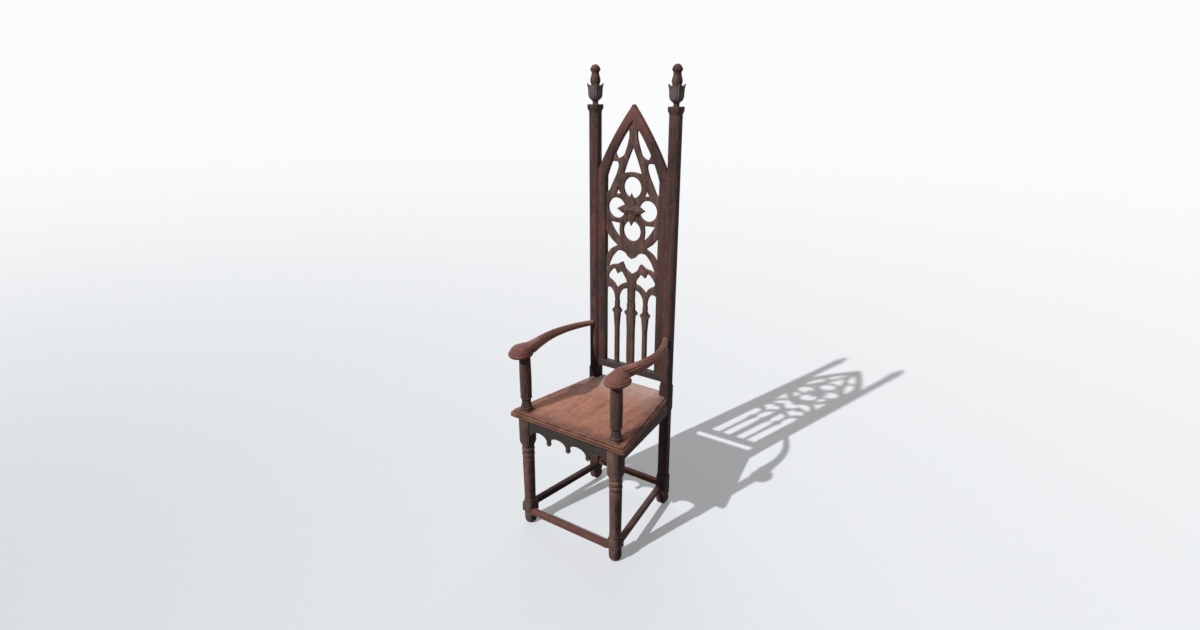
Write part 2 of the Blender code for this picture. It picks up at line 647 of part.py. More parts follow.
def make_apron(name, legs):
    half = LEG_INNER - CLEARANCE
    top = SEAT_UNDERSIDE - CLEARANCE
    crown = SEAT_UNDERSIDE - APRON_HEIGHT
    front = APRON_SETBACK - LEG_BLOCK / 2
    back = front + APRON_THICKNESS
    bay = 2 * half / APRON_BAYS
    profile = pendant_profile()
    edge = [Vector((-half, 0, profile[0][1]))]
    for index in range(APRON_BAYS):
        start = index * bay - half
        edge += [Vector((start + dx, 0, z)) for dx, z in profile[1:]]
        edge += [Vector((start + bay - dx, 0, z)) for dx, z in reversed(profile)]
    edge += [Vector((half, 0, top)), Vector((-half, 0, top))]
    apron = add_object(name, prism([edge], front, back))
    for (_, side), leg in zip(SIDES, legs):
        ends = sorted((side * (half - SHOULDER), side * (half + RAIL_TENON_IN_LEG)))
        low = Vector((ends[0], front + SHOULDER, crown + SHOULDER))
        high = Vector((ends[1], back - SHOULDER, top - SHOULDER))
        fit = Vector((CLEARANCE, CLEARANCE, CLEARANCE))
        combine(apron, loft(box_rings(low, high)), "UNION")
        combine(leg, loft(box_rings(low - fit, high + fit)), "DIFFERENCE")
    return apron


def make_rails(legs, posts):
    size = (RAIL_THICKNESS, RAIL_HEIGHT)
    z = RAIL_BOTTOM + RAIL_HEIGHT / 2
    inward = RAIL_SETBACK + RAIL_THICKNESS / 2
    for index, (word, side) in enumerate(SIDES):
        start = Vector((side * (LEG_X + LEG_BLOCK / 2 - inward), LEG_BLOCK / 2 + CLEARANCE, z))
        end = Vector((side * (POST_X + POST_BLOCK_SIZE / 2 - inward), POST_FRONT - CLEARANCE, z))
        make_bar("side_rail_" + word, 1, start, end, size, (RAIL_TENON_IN_LEG, RAIL_TENON_IN_POST),
                 (legs[index], posts[index]))
    start = Vector((CLEARANCE - POST_INNER, LEG_TO_POST, z))
    end = Vector((POST_INNER - CLEARANCE, LEG_TO_POST, z))
    make_bar("rear_rail", 0, start, end, size, (RAIL_TENON_IN_POST, RAIL_TENON_IN_POST), posts)


def make_stretchers(legs, posts):
    size = (STRETCHER_SIZE, STRETCHER_SIZE)
    rear_size = (REAR_STRETCHER_SIZE, REAR_STRETCHER_SIZE)
    tenons = (STRETCHER_TENON, STRETCHER_TENON)
    reach = LEG_INNER - CLEARANCE
    y = FRONT_STRETCHER_SETBACK + STRETCHER_SIZE / 2 - LEG_BLOCK / 2
    make_bar("front_stretcher", 0, Vector((-reach, y, FRONT_STRETCHER_HEIGHT)),
             Vector((reach, y, FRONT_STRETCHER_HEIGHT)), size, tenons, legs)
    for index, (word, side) in enumerate(SIDES):
        front_x = side * (LEG_X + SIDE_STRETCHER_OUTWARD)
        rear_x = side * (POST_X - SIDE_STRETCHER_INWARD)
        start = Vector((front_x, LEG_BLOCK / 2 + CLEARANCE, SIDE_STRETCHER_HEIGHT))
        end = Vector((rear_x, POST_FRONT - CLEARANCE, SIDE_STRETCHER_HEIGHT))
        make_bar("side_stretcher_" + word, 1, start, end, size, tenons, (legs[index], posts[index]))
    reach = POST_INNER - CLEARANCE
    make_bar("rear_stretcher", 0, Vector((-reach, LEG_TO_POST, REAR_STRETCHER_HEIGHT)),
             Vector((reach, LEG_TO_POST, REAR_STRETCHER_HEIGHT)), rear_size, tenons, posts)


def make_corner_blocks():
    """Glue blocks under the seat, in the corners by the legs and the posts."""
    top = SEAT_UNDERSIDE - CLEARANCE
    apron_back = APRON_SETBACK - LEG_BLOCK / 2 + APRON_THICKNESS + CLEARANCE
    rail_front = LEG_TO_POST - RAIL_THICKNESS / 2 - CLEARANCE
    corners = (("front", LEG_INNER, apron_back), ("rear", POST_INNER, rail_front - CORNER_BLOCK))
    for word, side in SIDES:
        for end, outer, front in corners:
            reach = outer - CLEARANCE
            xs = sorted((side * reach, side * (reach - CORNER_BLOCK)))
            low = Vector((xs[0], front, top - CORNER_BLOCK))
            high = Vector((xs[1], front + CORNER_BLOCK, top))
            add_object("corner_block_" + end + "_" + word, loft(box_rings(low, high)))


def arch_centre(half, foot, rise, radius):
    """Centre of the circle through a springing point and the apex on the centre line."""
    length = math.hypot(half, rise)
    back = math.sqrt(radius ** 2 - length ** 2 / 4) / length
    return Vector((half / 2 - rise * back, 0, foot + rise / 2 - half * back))


def arch_arc(half, foot, rise, radius, grow=0.0, stop_x=0.0):
    """Right side of a pointed arch from its springing to its apex."""
    centre = arch_centre(half, foot, rise, radius)
    reach = radius + grow
    first = math.acos((half + grow - centre.x) / reach)
    last = math.acos((stop_x - centre.x) / reach)
    angles = [first + (last - first) * step / ARCH_STEPS for step in range(ARCH_STEPS + 1)]
    return [centre + Vector((reach * math.cos(a), 0, reach * math.sin(a))) for a in angles]


def tongue_arc(grow):
    return arch_arc(LIGHT_HALF, SPRING, ARCH_INNER_RISE, ARCH_INNER_RADIUS, TRACERY_TONGUE + grow)


def back_planes(thickness):
    return LEG_TO_POST - thickness / 2, LEG_TO_POST + thickness / 2


def cut_groove(piece):
    """Groove for the tongue of the tracery panel."""
    foot = JAMB_FOOT - CLEARANCE
    right = [Vector((LIGHT_HALF + TRACERY_TONGUE + CLEARANCE, 0, foot))] + tongue_arc(CLEARANCE)
    planes = back_planes(TRACERY_THICKNESS + 2 * CLEARANCE)
    combine(piece, prism([right + mirrored(right[:-1])], *planes), "DIFFERENCE")


def make_jamb(name, side, rail):
    middle = side * (FRAME_HALF - JAMB_WIDTH / 2)
    tenon = ((JAMB_WIDTH - TRACERY_TONGUE) / 2, BACK_DEPTH / 2)
    tenon_x = side * (FRAME_HALF - tenon[0])
    low = BACK_RAIL_TOP + CLEARANCE
    full = (JAMB_WIDTH, BACK_DEPTH)
    levels = ((tenon_x, low - FRAME_TENON, tenon), (tenon_x, low, tenon), (middle, low, full),
              (middle, SPRING, full), (tenon_x, SPRING, tenon), (tenon_x, SPRING + FRAME_TENON, tenon))
    jamb = add_object(name, loft([upright_ring(x, z, *size) for x, z, size in levels]))
    cut_upright_mortise(rail, tenon_x, low - FRAME_TENON - CLEARANCE, low + MORTISE_OVERRUN, *tenon)
    cut_groove(jamb)
    return jamb


def make_arch_limb(name, side):
    mitre = CLEARANCE / 2
    foot = SPRING + CLEARANCE
    shoulder = SPRING + ARCH_SHOULDER_RISE
    inner = arch_arc(LIGHT_HALF, SPRING, ARCH_INNER_RISE, ARCH_INNER_RADIUS, 0.0, mitre)
    inner[0].z = foot
    outer_rise = ARCH_OUTER_RISE - ARCH_SHOULDER_RISE
    outer = arch_arc(FRAME_HALF, shoulder, outer_rise, ARCH_OUTER_RADIUS, 0.0, mitre)
    points = inner + outer[::-1] + [Vector((FRAME_HALF, 0, foot))]
    if side < 0:
        points = mirrored(points)
    limb = add_object(name, prism([points], *back_planes(BACK_DEPTH)))
    tenon_width = (JAMB_WIDTH - TRACERY_TONGUE) / 2
    tenon_x = side * (FRAME_HALF - tenon_width)
    cut_upright_mortise(limb, tenon_x, SPRING - MORTISE_OVERRUN, foot + FRAME_TENON,
                        tenon_width, BACK_DEPTH / 2)
    cut_groove(limb)
    return limb


def make_dowels(jambs, posts):
    """Dowels that hold the jambs to the posts."""
    face = POST_X - POST_SIZE / 2
    levels = (("upper", SPRING - DOWEL_END_DISTANCE), ("lower", BACK_RAIL_TOP + DOWEL_END_DISTANCE))
    along = Vector((1, 0, 0))
    for (word, side), jamb, post in zip(SIDES, jambs, posts):
        for level, z in levels:
            middle = Vector((side * face, LEG_TO_POST, z))
            reach = along * DOWEL_LENGTH / 2
            pin = [pin_ring(middle + end, along, DOWEL_DIAMETER) for end in (-reach, reach)]
            add_object("jamb_dowel_" + level + "_" + word, loft(pin))
            reach = along * (DOWEL_LENGTH / 2 + CLEARANCE)
            wide = DOWEL_DIAMETER + 2 * CLEARANCE
            for host in (jamb, post):
                hole = [pin_ring(middle + end, along, wide) for end in (-reach, reach)]
                combine(host, loft(hole), "DIFFERENCE")


def drawn(x, z):
    """Point of the tracery drawing, set to the width, the rise and the drop of the panel."""
    return Vector((x * LIGHT_SCALE, 0, SPRING + z * (RISE_SCALE if z > 0 else DROP_SCALE)))


def on_limb(z):
    """Point on the inner edge of the right limb at a height of the drawing."""
    centre = arch_centre(LIGHT_HALF, SPRING, ARCH_INNER_RISE, ARCH_INNER_RADIUS)
    height = drawn(0, z).z
    return Vector((centre.x + math.sqrt(ARCH_INNER_RADIUS ** 2 - (height - centre.z) ** 2), 0, height))


def draw(*places):
    return [drawn(x, z) for x, z in places]


def upper_slit():
    limb = [on_limb(z) for z in (170, 142, 114, 86)]
    end = draw((64, 68), (55, 67), (36.6, 79), (28.6, 98), (21.8, 118), (15.5, 148))
    return outline(limb, [limb[-1]] + end + [limb[0]])


def lower_slit():
    limb = [on_limb(z) for z in (54, 27, 0)]
    point = drawn(DRAWN_LIGHT_HALF, -57)
    leg = draw((96.6, -47), (86.6, -27), (76.6, -7), (66.6, 13), (58.6, 40))
    start = drawn(62, 54)
    return outline(limb, [limb[-1], point], [point] + leg + [start], [start, limb[0]])


def centre_triangle():
    side = draw((0, 108), (22, 58), (37, 17))
    base = draw((37, 17), (0, 22), (-37, 17))
    return outline(side, base, mirrored(side))


def small_triangle():
    corners = draw((59.5, -33), (49, -57), (69, -57))
    sides = draw((56, -47), (59, -58.5), (63.5, -47))
    return outline([corners[0], sides[0], corners[1]], [corners[1], sides[1], corners[2]],
                   [corners[2], sides[2], corners[0]])


def lower_spandrel():
    return outline(draw((93.4, -161), (72, -161.5), (50.6, -163)),
                   draw((50.6, -163), (53, -187), (50, -217)),
                   draw((50, -217), (74, -192), (93.4, -161)))


def outer_triangle():
    edge = DRAWN_LIGHT_HALF
    return outline(draw((edge, -196), (88, -224), (60.6, -245)),
                   draw((60.6, -245), (90, -263), (edge, -292)),
                   draw((edge, -292), (edge, -196)))


def big_arch():
    crown = draw((0, -290), (16, -282), (25, -271), (42, -264), (58, -266), (68, -274),
                 (83, -292), (93, -312), (100, -329))
    sill = draw((100, -329), (80, -321), (60, -317), (50, -310), (38.5, -304))
    dip = draw((38.5, -304), (33, -314), (27, -327), (17, -336), (0, -346))
    return outline(crown, sill, dip, mirrored(dip), mirrored(sill), mirrored(crown))


def heart():
    return outline(draw((59, -354), (70, -336), (82, -341), (92, -352), (101, -367), (98, -376)),
                   draw((98, -376), (80, -387), (70, -397), (61, -410)),
                   draw((61, -410), (50, -397), (35, -387), (20, -382)),
                   draw((20, -382), (20, -372), (30, -356), (42, -343), (59, -354)))


def lobe(x, z):
    radius = DRAWN_LOBE_RADIUS * LIGHT_SCALE
    angles = [2 * math.pi * step / (4 * CORNER_POINTS) for step in range(4 * CORNER_POINTS)]
    return [Vector((x + radius * math.cos(a), 0, z + radius * math.sin(a))) for a in angles]


def tracery_openings():
    side = DRAWN_LOBE_SIDE * LIGHT_SCALE
    rise = DRAWN_LOBE_RISE * DROP_SCALE
    paired = [upper_slit(), lower_slit(), small_triangle(), lower_spandrel(), outer_triangle(), heart(),
              lobe(side, ROSE_HEIGHT)]
    centred = [centre_triangle(), big_arch(), lobe(0, ROSE_HEIGHT + rise), lobe(0, ROSE_HEIGHT - rise)]
    return paired + [mirrored(points) for points in paired] + centred


def tracery_edge():
    """Outer edge of the panel: light heads below, tongue along the jambs and the limbs."""
    start = Vector((CENTRE_MULLION_WIDTH / 2, 0, MULLION_TOP))
    crown = Vector((CENTRE_MULLION_WIDTH / 2 + LIGHT_HEAD_STEP, 0, drawn(0, -403).z))
    inner = Vector((SIDE_MULLION_X - SIDE_MULLION_WIDTH / 2, 0, MULLION_TOP))
    outer = Vector((SIDE_MULLION_X + SIDE_MULLION_WIDTH / 2, 0, MULLION_TOP))
    tongue = tongue_arc(0.0)
    head = [crown] + draw((33.4, -410), (43.4, -420), (51.4, -437)) + [inner]
    side_head = [outer] + draw((71.6, -437), (76.6, -424), (86.6, -412), (95, -411))
    side_head.append(Vector((LIGHT_HALF, 0, JAMB_FOOT)))
    jamb = Vector((tongue[0].x, 0, JAMB_FOOT))
    right = outline([start, crown], head, [inner, outer], side_head,
                    [side_head[-1], jamb], [jamb, tongue[0]]) + tongue
    return right + mirrored(right[:-1])


def make_tracery(name):
    planes = back_planes(TRACERY_THICKNESS)
    return add_object(name, prism([tracery_edge()] + tracery_openings(), *planes), TRACERY_WOOD)


def make_mullion(name, x, widths, panel, rail):
    """Flat upright with a pointed collar, tenoned into the panel above and the rail below."""
    width, collar_width, swell_width = widths
    tenon = (MULLION_TENON_WIDTH, MULLION_TENON_DEPTH)
    top = MULLION_TOP - CLEARANCE
    low = BACK_RAIL_TOP + CLEARANCE
    collar = top - MULLION_COLLAR_DROP
    collar_half = MULLION_COLLAR_HEIGHT / 2
    levels = ((top + FRAME_TENON, tenon), (top, tenon), (top, (width, MULLION_DEPTH)),
              (collar + collar_half, (width, MULLION_DEPTH)),
              (collar, (collar_width, MULLION_DEPTH)),
              (collar - collar_half, (swell_width, MULLION_DEPTH)),
              (collar - collar_half - MULLION_TAPER, (width, MULLION_DEPTH)),
              (low, (width, MULLION_DEPTH)), (low, tenon), (low - FRAME_TENON, tenon))
    add_object(name, loft([upright_ring(x, z, *size) for z, size in levels]), TRACERY_WOOD)
    cut_upright_mortise(panel, x, top - MORTISE_OVERRUN, top + FRAME_TENON + CLEARANCE, *tenon)
    cut_upright_mortise(rail, x, low - FRAME_TENON - CLEARANCE, low + MORTISE_OVERRUN, *tenon)


def petal_ring(y, scale):
    """Outline of the four-petal rosette at one depth of its relief."""
    ring = []
    for index in range(FINIAL_POINTS):
        angle = index / FINIAL_POINTS * 2 * math.pi
        petal = abs(math.cos(2 * angle)) ** PETAL_SHARPNESS
        radius = scale * (ROSETTE_WAIST + (ROSETTE_RADIUS - ROSETTE_WAIST) * petal)
        ring.append(Vector((radius * math.cos(angle), y, ROSE_HEIGHT + radius * math.sin(angle))))
    return ring


def boss_pin_ring(y, diameter):
    angles = [index / FINIAL_POINTS * 2 * math.pi for index in range(FINIAL_POINTS)]
    middle = Vector((0, y, ROSE_HEIGHT))
    return [middle + Vector((math.cos(a), 0, math.sin(a))) * diameter / 2 for a in angles]


def make_rosette(name, panel):
    face = LEG_TO_POST - TRACERY_THICKNESS / 2
    seat = face - CLEARANCE
    pin_end = LEG_TO_POST
    rings = [boss_pin_ring(pin_end, ROSETTE_PIN_DIAMETER), boss_pin_ring(seat, ROSETTE_PIN_DIAMETER)]
    rings += [petal_ring(seat - ROSETTE_RELIEF * depth, scale) for depth, scale in PETAL_LEVELS]
    rosette = add_object(name, loft(rings), TRACERY_WOOD)
    loose = ROSETTE_PIN_DIAMETER + 2 * CLEARANCE
    hole = [boss_pin_ring(y, loose) for y in (face - MORTISE_OVERRUN, pin_end + CLEARANCE)]
    combine(panel, loft(hole), "DIFFERENCE")
    return rosette


def make_back(posts):
    z = BACK_RAIL_TOP - BACK_RAIL_HEIGHT / 2
    start = Vector((-FRAME_HALF, LEG_TO_POST, z))
    end = Vector((FRAME_HALF, LEG_TO_POST, z))
    rail = make_bar("back_bottom_rail", 0, start, end, (BACK_DEPTH, BACK_RAIL_HEIGHT),
                    (RAIL_TENON_IN_POST, RAIL_TENON_IN_POST), posts)
    jambs = [make_jamb("arch_jamb_" + word, side, rail) for word, side in SIDES]
    for word, side in SIDES:
        make_arch_limb("arch_limb_" + word, side)
    make_dowels(jambs, posts)
    panel = make_tracery("tracery_panel")
    make_mullion("centre_mullion", 0,
                 (CENTRE_MULLION_WIDTH, CENTRE_COLLAR_WIDTH, CENTRE_SWELL_WIDTH), panel, rail)
    for word, side in SIDES:
        make_mullion("side_mullion_" + word, side * SIDE_MULLION_X,
                     (SIDE_MULLION_WIDTH, SIDE_COLLAR_WIDTH, SIDE_SWELL_WIDTH), panel, rail)
    make_rosette("rosette_boss", panel)


def stand_on_origin():
    """Parent every piece to one empty that puts the origin under the middle of the chair."""
    bpy.context.view_layer.update()
    pieces = list(bpy.context.scene.objects)
    depths = [(piece.matrix_world @ vertex.co).y for piece in pieces for vertex in piece.data.vertices]
    chair = bpy.data.objects.new("chair", None)
    chair.location = (0, -(min(depths) + max(depths)) / 2, 0)
    bpy.context.scene.collection.objects.link(chair)
    for piece in pieces:
        piece.parent = chair
        piece.data.shade_smooth()
        piece.data.set_sharp_from_angle(angle=math.radians(SHARP_EDGE_DEGREES))


def main():
    remove_scene_objects()
    legs = [make_front_leg("front_leg_" + word, side) for word, side in SIDES]
    posts = [make_rear_post("rear_post_" + word, side) for word, side in SIDES]
    for (word, side), post in zip(SIDES, posts):
        make_post_cap("post_cap_" + word, side)
        make_finial("finial_" + word, side)
        make_arm_support("arm_support_" + word, side)
        make_arm("arm_" + word, side, post)
    make_seat("seat_board")
    make_apron("front_apron", legs)
    make_rails(legs, posts)
    make_stretchers(legs, posts)
    make_corner_blocks()
    make_back(posts)
    stand_on_origin()


main()
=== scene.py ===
import math

import bmesh
import bpy
from mathutils import Matrix, Vector


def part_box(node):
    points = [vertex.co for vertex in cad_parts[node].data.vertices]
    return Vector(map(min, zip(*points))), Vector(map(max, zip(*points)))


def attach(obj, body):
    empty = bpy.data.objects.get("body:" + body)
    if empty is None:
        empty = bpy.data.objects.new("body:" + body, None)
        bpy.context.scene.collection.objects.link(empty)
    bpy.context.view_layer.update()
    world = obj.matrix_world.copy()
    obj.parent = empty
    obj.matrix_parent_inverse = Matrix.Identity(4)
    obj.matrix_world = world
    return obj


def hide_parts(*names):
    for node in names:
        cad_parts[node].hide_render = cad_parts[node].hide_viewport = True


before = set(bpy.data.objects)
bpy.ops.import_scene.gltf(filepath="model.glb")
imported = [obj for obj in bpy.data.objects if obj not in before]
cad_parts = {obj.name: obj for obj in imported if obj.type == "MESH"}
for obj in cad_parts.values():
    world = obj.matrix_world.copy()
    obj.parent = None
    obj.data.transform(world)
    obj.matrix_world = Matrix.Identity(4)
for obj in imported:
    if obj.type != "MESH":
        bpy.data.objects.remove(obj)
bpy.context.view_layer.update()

SIDES = (("left", -1), ("right", 1))

# Fineness of the round forms
CORNER_POINTS = 12
POST_CORNER_POINTS = 6
FINIAL_POINTS = 96
ARM_POINTS = 40
SPIN_STEPS = 64
SHARP_EDGE = math.radians(38)

# Nearness at which points are one, and the angle under which faces count as one flat face
MERGE = 0.00001
LATHE_MERGE = 0.00002
FLAT_ANGLE = math.radians(0.4)

# Easing of the sharp edges: widths, and the angles in degrees past which an edge is eased
FINE_EASE = 0.0006
EDGE_EASE = 0.0011
BACK_EASE = 0.0016
PANEL_EASE = 0.0021
EASE_STEPS = 2
TURNED_ANGLE = 50
POST_ANGLE = 30
SQUARE_ANGLE = 45
PANEL_ANGLE = 50

# Widest face that shows wear, or dirt and painted shade
NARROW_FACE = 0.0045
# Angles between faces, in degrees, where wear, and the dirt and painted shade of hollows, begin, and the
# range over which they grow
RIDGE_START = 10.0
RIDGE_RANGE = 24.0
HOLLOW_START = 8.0
HOLLOW_RANGE = 22.0


def middle_of(node):
    low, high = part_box(node)
    return (low + high) / 2


# Clearance of the frame's joints
CLEARANCE = 0.0003

# Places that the frame gives
LEG = middle_of("front_leg_right")
POST = middle_of("rear_post_right")
SEAT_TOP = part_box("seat_board")[1].z
SEAT_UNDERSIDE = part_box("seat_board")[0].z
POST_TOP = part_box("rear_post_right")[1].z
CAP_LOW, CAP_TOP = (corner.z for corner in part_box("post_cap_right"))
LEG_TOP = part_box("front_leg_right")[1].z
SUPPORT_BASE = SEAT_TOP + CLEARANCE
PANEL_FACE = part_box("tracery_panel")[0].y
ROSE = middle_of("rosette_boss")
APRON_LOW, APRON_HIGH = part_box("front_apron")
ARCH_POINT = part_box("arch_limb_right")[1].z - 0.003
JAMB_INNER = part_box("arch_jamb_right")[0].x
JAMB_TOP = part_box("arch_limb_right")[0].z


def section(half, corner, z, centre, points=CORNER_POINTS, flat=False):
    """Square with soft or flat corners; a corner as large as the half makes a circle."""
    inner = half - corner
    ring = []
    for quarter in range(4):
        turn = quarter * math.pi / 2
        for step in range(points):
            if flat:
                share = step / (points - 1)
                along = (inner + corner * (1 - share), inner + corner * share)
            else:
                angle = (step + 0.5) / points * math.pi / 2
                along = (inner + corner * math.cos(angle), inner + corner * math.sin(angle))
            across = along[0] * math.cos(turn) - along[1] * math.sin(turn)
            deep = along[0] * math.sin(turn) + along[1] * math.cos(turn)
            ring.append(Vector((centre.x + across, centre.y + deep, z)))
    return ring


def turned_section(axis, z, half, corner=None):
    """Level of a turned piece: round, or square where a corner is given."""
    return section(half, half if corner is None else corner, z, axis)


def move_loop(face, ring):
    for vert, point in zip(face.verts, ring):
        vert.co = point


def drawn_out(rings):
    """A closed form: a disc on the first ring, extruded from ring to ring."""
    bm = bmesh.new()
    bmesh.ops.create_circle(bm, cap_ends=True, segments=len(rings[0]), radius=1.0)
    bm.faces.ensure_lookup_table()
    foot = cap = bm.faces[0]
    move_loop(cap, rings[0])
    for ring in rings[1:]:
        pulled = bmesh.ops.extrude_face_region(bm, geom=[cap])["geom"]
        if cap is not foot:
            bmesh.ops.delete(bm, geom=[cap], context="FACES_ONLY")
        cap = next(item for item in pulled if isinstance(item, bmesh.types.BMFace))
        move_loop(cap, ring)
    bmesh.ops.recalc_face_normals(bm, faces=bm.faces)
    return bm


def turned(profile, centre):
    """A form turned on a lathe: (radius, height) pairs that start and end on the axis."""
    bm = bmesh.new()
    verts = [bm.verts.new((centre.x + radius, centre.y, z)) for radius, z in profile]
    edges = [bm.edges.new(pair) for pair in zip(verts, verts[1:])]
    bmesh.ops.spin(bm, geom=verts + edges, cent=(centre.x, centre.y, 0), axis=(0, 0, 1),
                   angle=2 * math.pi, steps=SPIN_STEPS, use_merge=True)
    bmesh.ops.remove_doubles(bm, verts=bm.verts, dist=LATHE_MERGE)
    bmesh.ops.recalc_face_normals(bm, faces=bm.faces)
    return bm


def copied(node):
    """Copy of a piece of the frame, with its loose triangles merged into flat faces."""
    bm = bmesh.new()
    bm.from_mesh(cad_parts[node].data)
    bmesh.ops.remove_doubles(bm, verts=bm.verts, dist=MERGE)
    bmesh.ops.dissolve_limit(bm, angle_limit=FLAT_ANGLE, verts=bm.verts, edges=bm.edges)
    return bm


def ease(bm, width, degrees, skip=None):
    """Round the sharp outer edges a little, apart from those that skip names."""
    limit = math.radians(degrees)
    sharp = [edge for edge in bm.edges if edge.is_manifold and edge.calc_face_angle_signed() > limit]
    if skip:
        sharp = [edge for edge in sharp if not skip((edge.verts[0].co + edge.verts[1].co) / 2)]
    bmesh.ops.bevel(bm, geom=sharp, offset=width, offset_type="OFFSET", segments=EASE_STEPS,
                    profile=0.5, affect="EDGES", clamp_overlap=False, material=-1)
    return bm


def mark_relief(bm, polish_and_highlight=None):
    """Mark ridges, which wear, and hollows, which hold dirt and painted shade, by how sharply the faces
    meet.
    """
    bm.normal_update()
    worn = bm.verts.layers.float.new("wear")
    hollow = bm.verts.layers.float.new("hollow")
    wide = {face for face in bm.faces
            if face.calc_area() > NARROW_FACE * max(edge.calc_length() for edge in face.edges)}
    for vert in bm.verts:
        if not wide.isdisjoint(vert.link_faces):
            continue
        angles = [math.degrees(edge.calc_face_angle_signed()) for edge in vert.link_edges]
        ridge = min(1, max(0, max(angles) - RIDGE_START) / RIDGE_RANGE)
        vert[hollow] = min(1, max(0, -min(angles) - HOLLOW_START) / HOLLOW_RANGE)
        # Wear on ridges; on the arms also hand polish with a painted highlight on the upper side
        vert[worn] = max(ridge, polish_and_highlight(vert) if polish_and_highlight else 0) * (1 - vert[hollow])


def mirrored(bm, side):
    """The right-hand form, or its mirror image on the left."""
    if side < 0:
        bmesh.ops.scale(bm, vec=(-1, 1, 1), verts=bm.verts)
        bmesh.ops.reverse_faces(bm, faces=bm.faces)
    return bm


def joined(forms):
    """Several closed forms in one mesh."""
    bm = bmesh.new()
    for form in forms:
        mesh = bpy.data.meshes.new("form")
        form.to_mesh(mesh)
        form.free()
        bm.from_mesh(mesh)
        bpy.data.meshes.remove(mesh)
    return bm


def carved_from(bm, grain):
    """One skin round all the forms, as if carved from one block."""
    mesh = bpy.data.meshes.new("block")
    bm.to_mesh(mesh)
    bm.free()
    block = bpy.data.objects.new("block", mesh)
    bpy.context.scene.collection.objects.link(block)
    remesh = block.modifiers.new("skin", "REMESH")
    remesh.mode = "VOXEL"
    remesh.voxel_size = grain
    graph = bpy.context.evaluated_depsgraph_get()
    shaped = bpy.data.meshes.new_from_object(block.evaluated_get(graph))
    bpy.data.objects.remove(block, do_unlink=True)
    bpy.data.meshes.remove(mesh)
    carved = bmesh.new()
    carved.from_mesh(shaped)
    bpy.data.meshes.remove(shaped)
    return carved


def rub(bm, times, verts=None):
    """Sand the form smooth."""
    for _ in range(times):
        bmesh.ops.smooth_vert(bm, verts=verts or bm.verts, factor=0.5,
                              use_axis_x=True, use_axis_y=True, use_axis_z=True)
    return bm


def finished(name, bm, wood, slot, *nodes, polish_and_highlight=None):
    """Make the piece, with its wood, and let it stand for its pieces of the frame."""
    mark_relief(bm, polish_and_highlight)
    mesh = bpy.data.meshes.new(name)
    bm.to_mesh(mesh)
    bm.free()
    mesh.materials.append(wood)
    mesh.shade_smooth()
    mesh.set_sharp_from_angle(angle=SHARP_EDGE)
    piece = bpy.data.objects.new(name, mesh)
    bpy.context.scene.collection.objects.link(piece)
    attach(piece, "root")
    if nodes:
        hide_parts(*nodes)
    return piece


def make_pair(kind, stem, place, rings_at, degrees, wood, slot):
    """The left and the right piece of a pair, drawn out along its upright axis."""
    for word, side in SIDES:
        bm = drawn_out(rings_at(Vector((side * place.x, place.y, 0))))
        if degrees:
            ease(bm, FINE_EASE, degrees)
        node = stem + "_" + word
        finished(kind + "_" + node, bm, wood, slot, node)


# Front legs: (height, radius) or, where square, (height, half width, corner), from the floor up
LEG_LEVELS = (
    (0.0000, 0.0140), (0.0022, 0.0175), (0.0070, 0.0207), (0.0150, 0.0225), (0.0250, 0.0231),
    (0.0390, 0.0229), (0.0450, 0.0219), (0.0478, 0.0204), (0.0490, 0.0204), (0.0500, 0.0212, 0.0030),
    (0.0512, 0.0220, 0.0020), (0.0840, 0.0220, 0.0020), (0.0858, 0.0207, 0.0030),
    (0.0920, 0.0200, 0.0120), (0.0950, 0.0205), (0.0975, 0.0217), (0.1000, 0.0221), (0.1025, 0.0217),
    (0.1050, 0.0203), (0.1062, 0.0202), (0.1085, 0.0207), (0.1400, 0.02085), (0.2000, 0.0216),
    (0.2600, 0.0221), (0.2790, 0.0222), (0.2815, 0.0214), (0.2837, 0.0204), (0.2848, 0.0204),
    (0.2868, 0.0219), (0.2898, 0.0231), (0.2942, 0.0236), (0.2986, 0.0231), (0.3016, 0.0219),
    (0.3036, 0.0205), (0.3050, 0.0204), (0.3068, 0.0214), (0.3090, 0.0226), (0.3130, 0.0236),
    (0.3170, 0.0236), (0.3210, 0.0227), (0.3236, 0.0212), (0.3257, 0.0205), (0.3275, 0.0206, 0.0180),
    (0.3330, 0.0209, 0.0125), (0.3400, 0.0214, 0.0065), (0.3467, 0.0220, 0.0020),
)


def leg_rings(axis):
    levels = LEG_LEVELS + ((LEG_TOP, *LEG_LEVELS[-1][1:]),)
    return [turned_section(axis, *level) for level in levels]


# Arm supports: the same, from the seat up
SUPPORT_LEVELS = (
    (0.0000, 0.0200, 0.0024), (0.0010, 0.0208, 0.0024), (0.0052, 0.0208, 0.0024),
    (0.0064, 0.0200, 0.0050), (0.0072, 0.0196), (0.0090, 0.0208), (0.0118, 0.0215), (0.0148, 0.0211),
    (0.0170, 0.0198), (0.0182, 0.0182), (0.0194, 0.0178), (0.0212, 0.0184), (0.0236, 0.0186),
    (0.0258, 0.0178), (0.0275, 0.0167), (0.0310, 0.0163), (0.0400, 0.0165), (0.0462, 0.0171),
    (0.0482, 0.0184), (0.0500, 0.0203), (0.0522, 0.0211), (0.0544, 0.0206), (0.0560, 0.0197),
    (0.0574, 0.0197), (0.0594, 0.0204), (0.1100, 0.0212), (0.1600, 0.0209), (0.2010, 0.0200),
    (0.2080, 0.0199), (0.2130, 0.0194),
)


def support_rings(axis):
    return [turned_section(axis, SUPPORT_BASE + z, *sizes) for z, *sizes in SUPPORT_LEVELS]


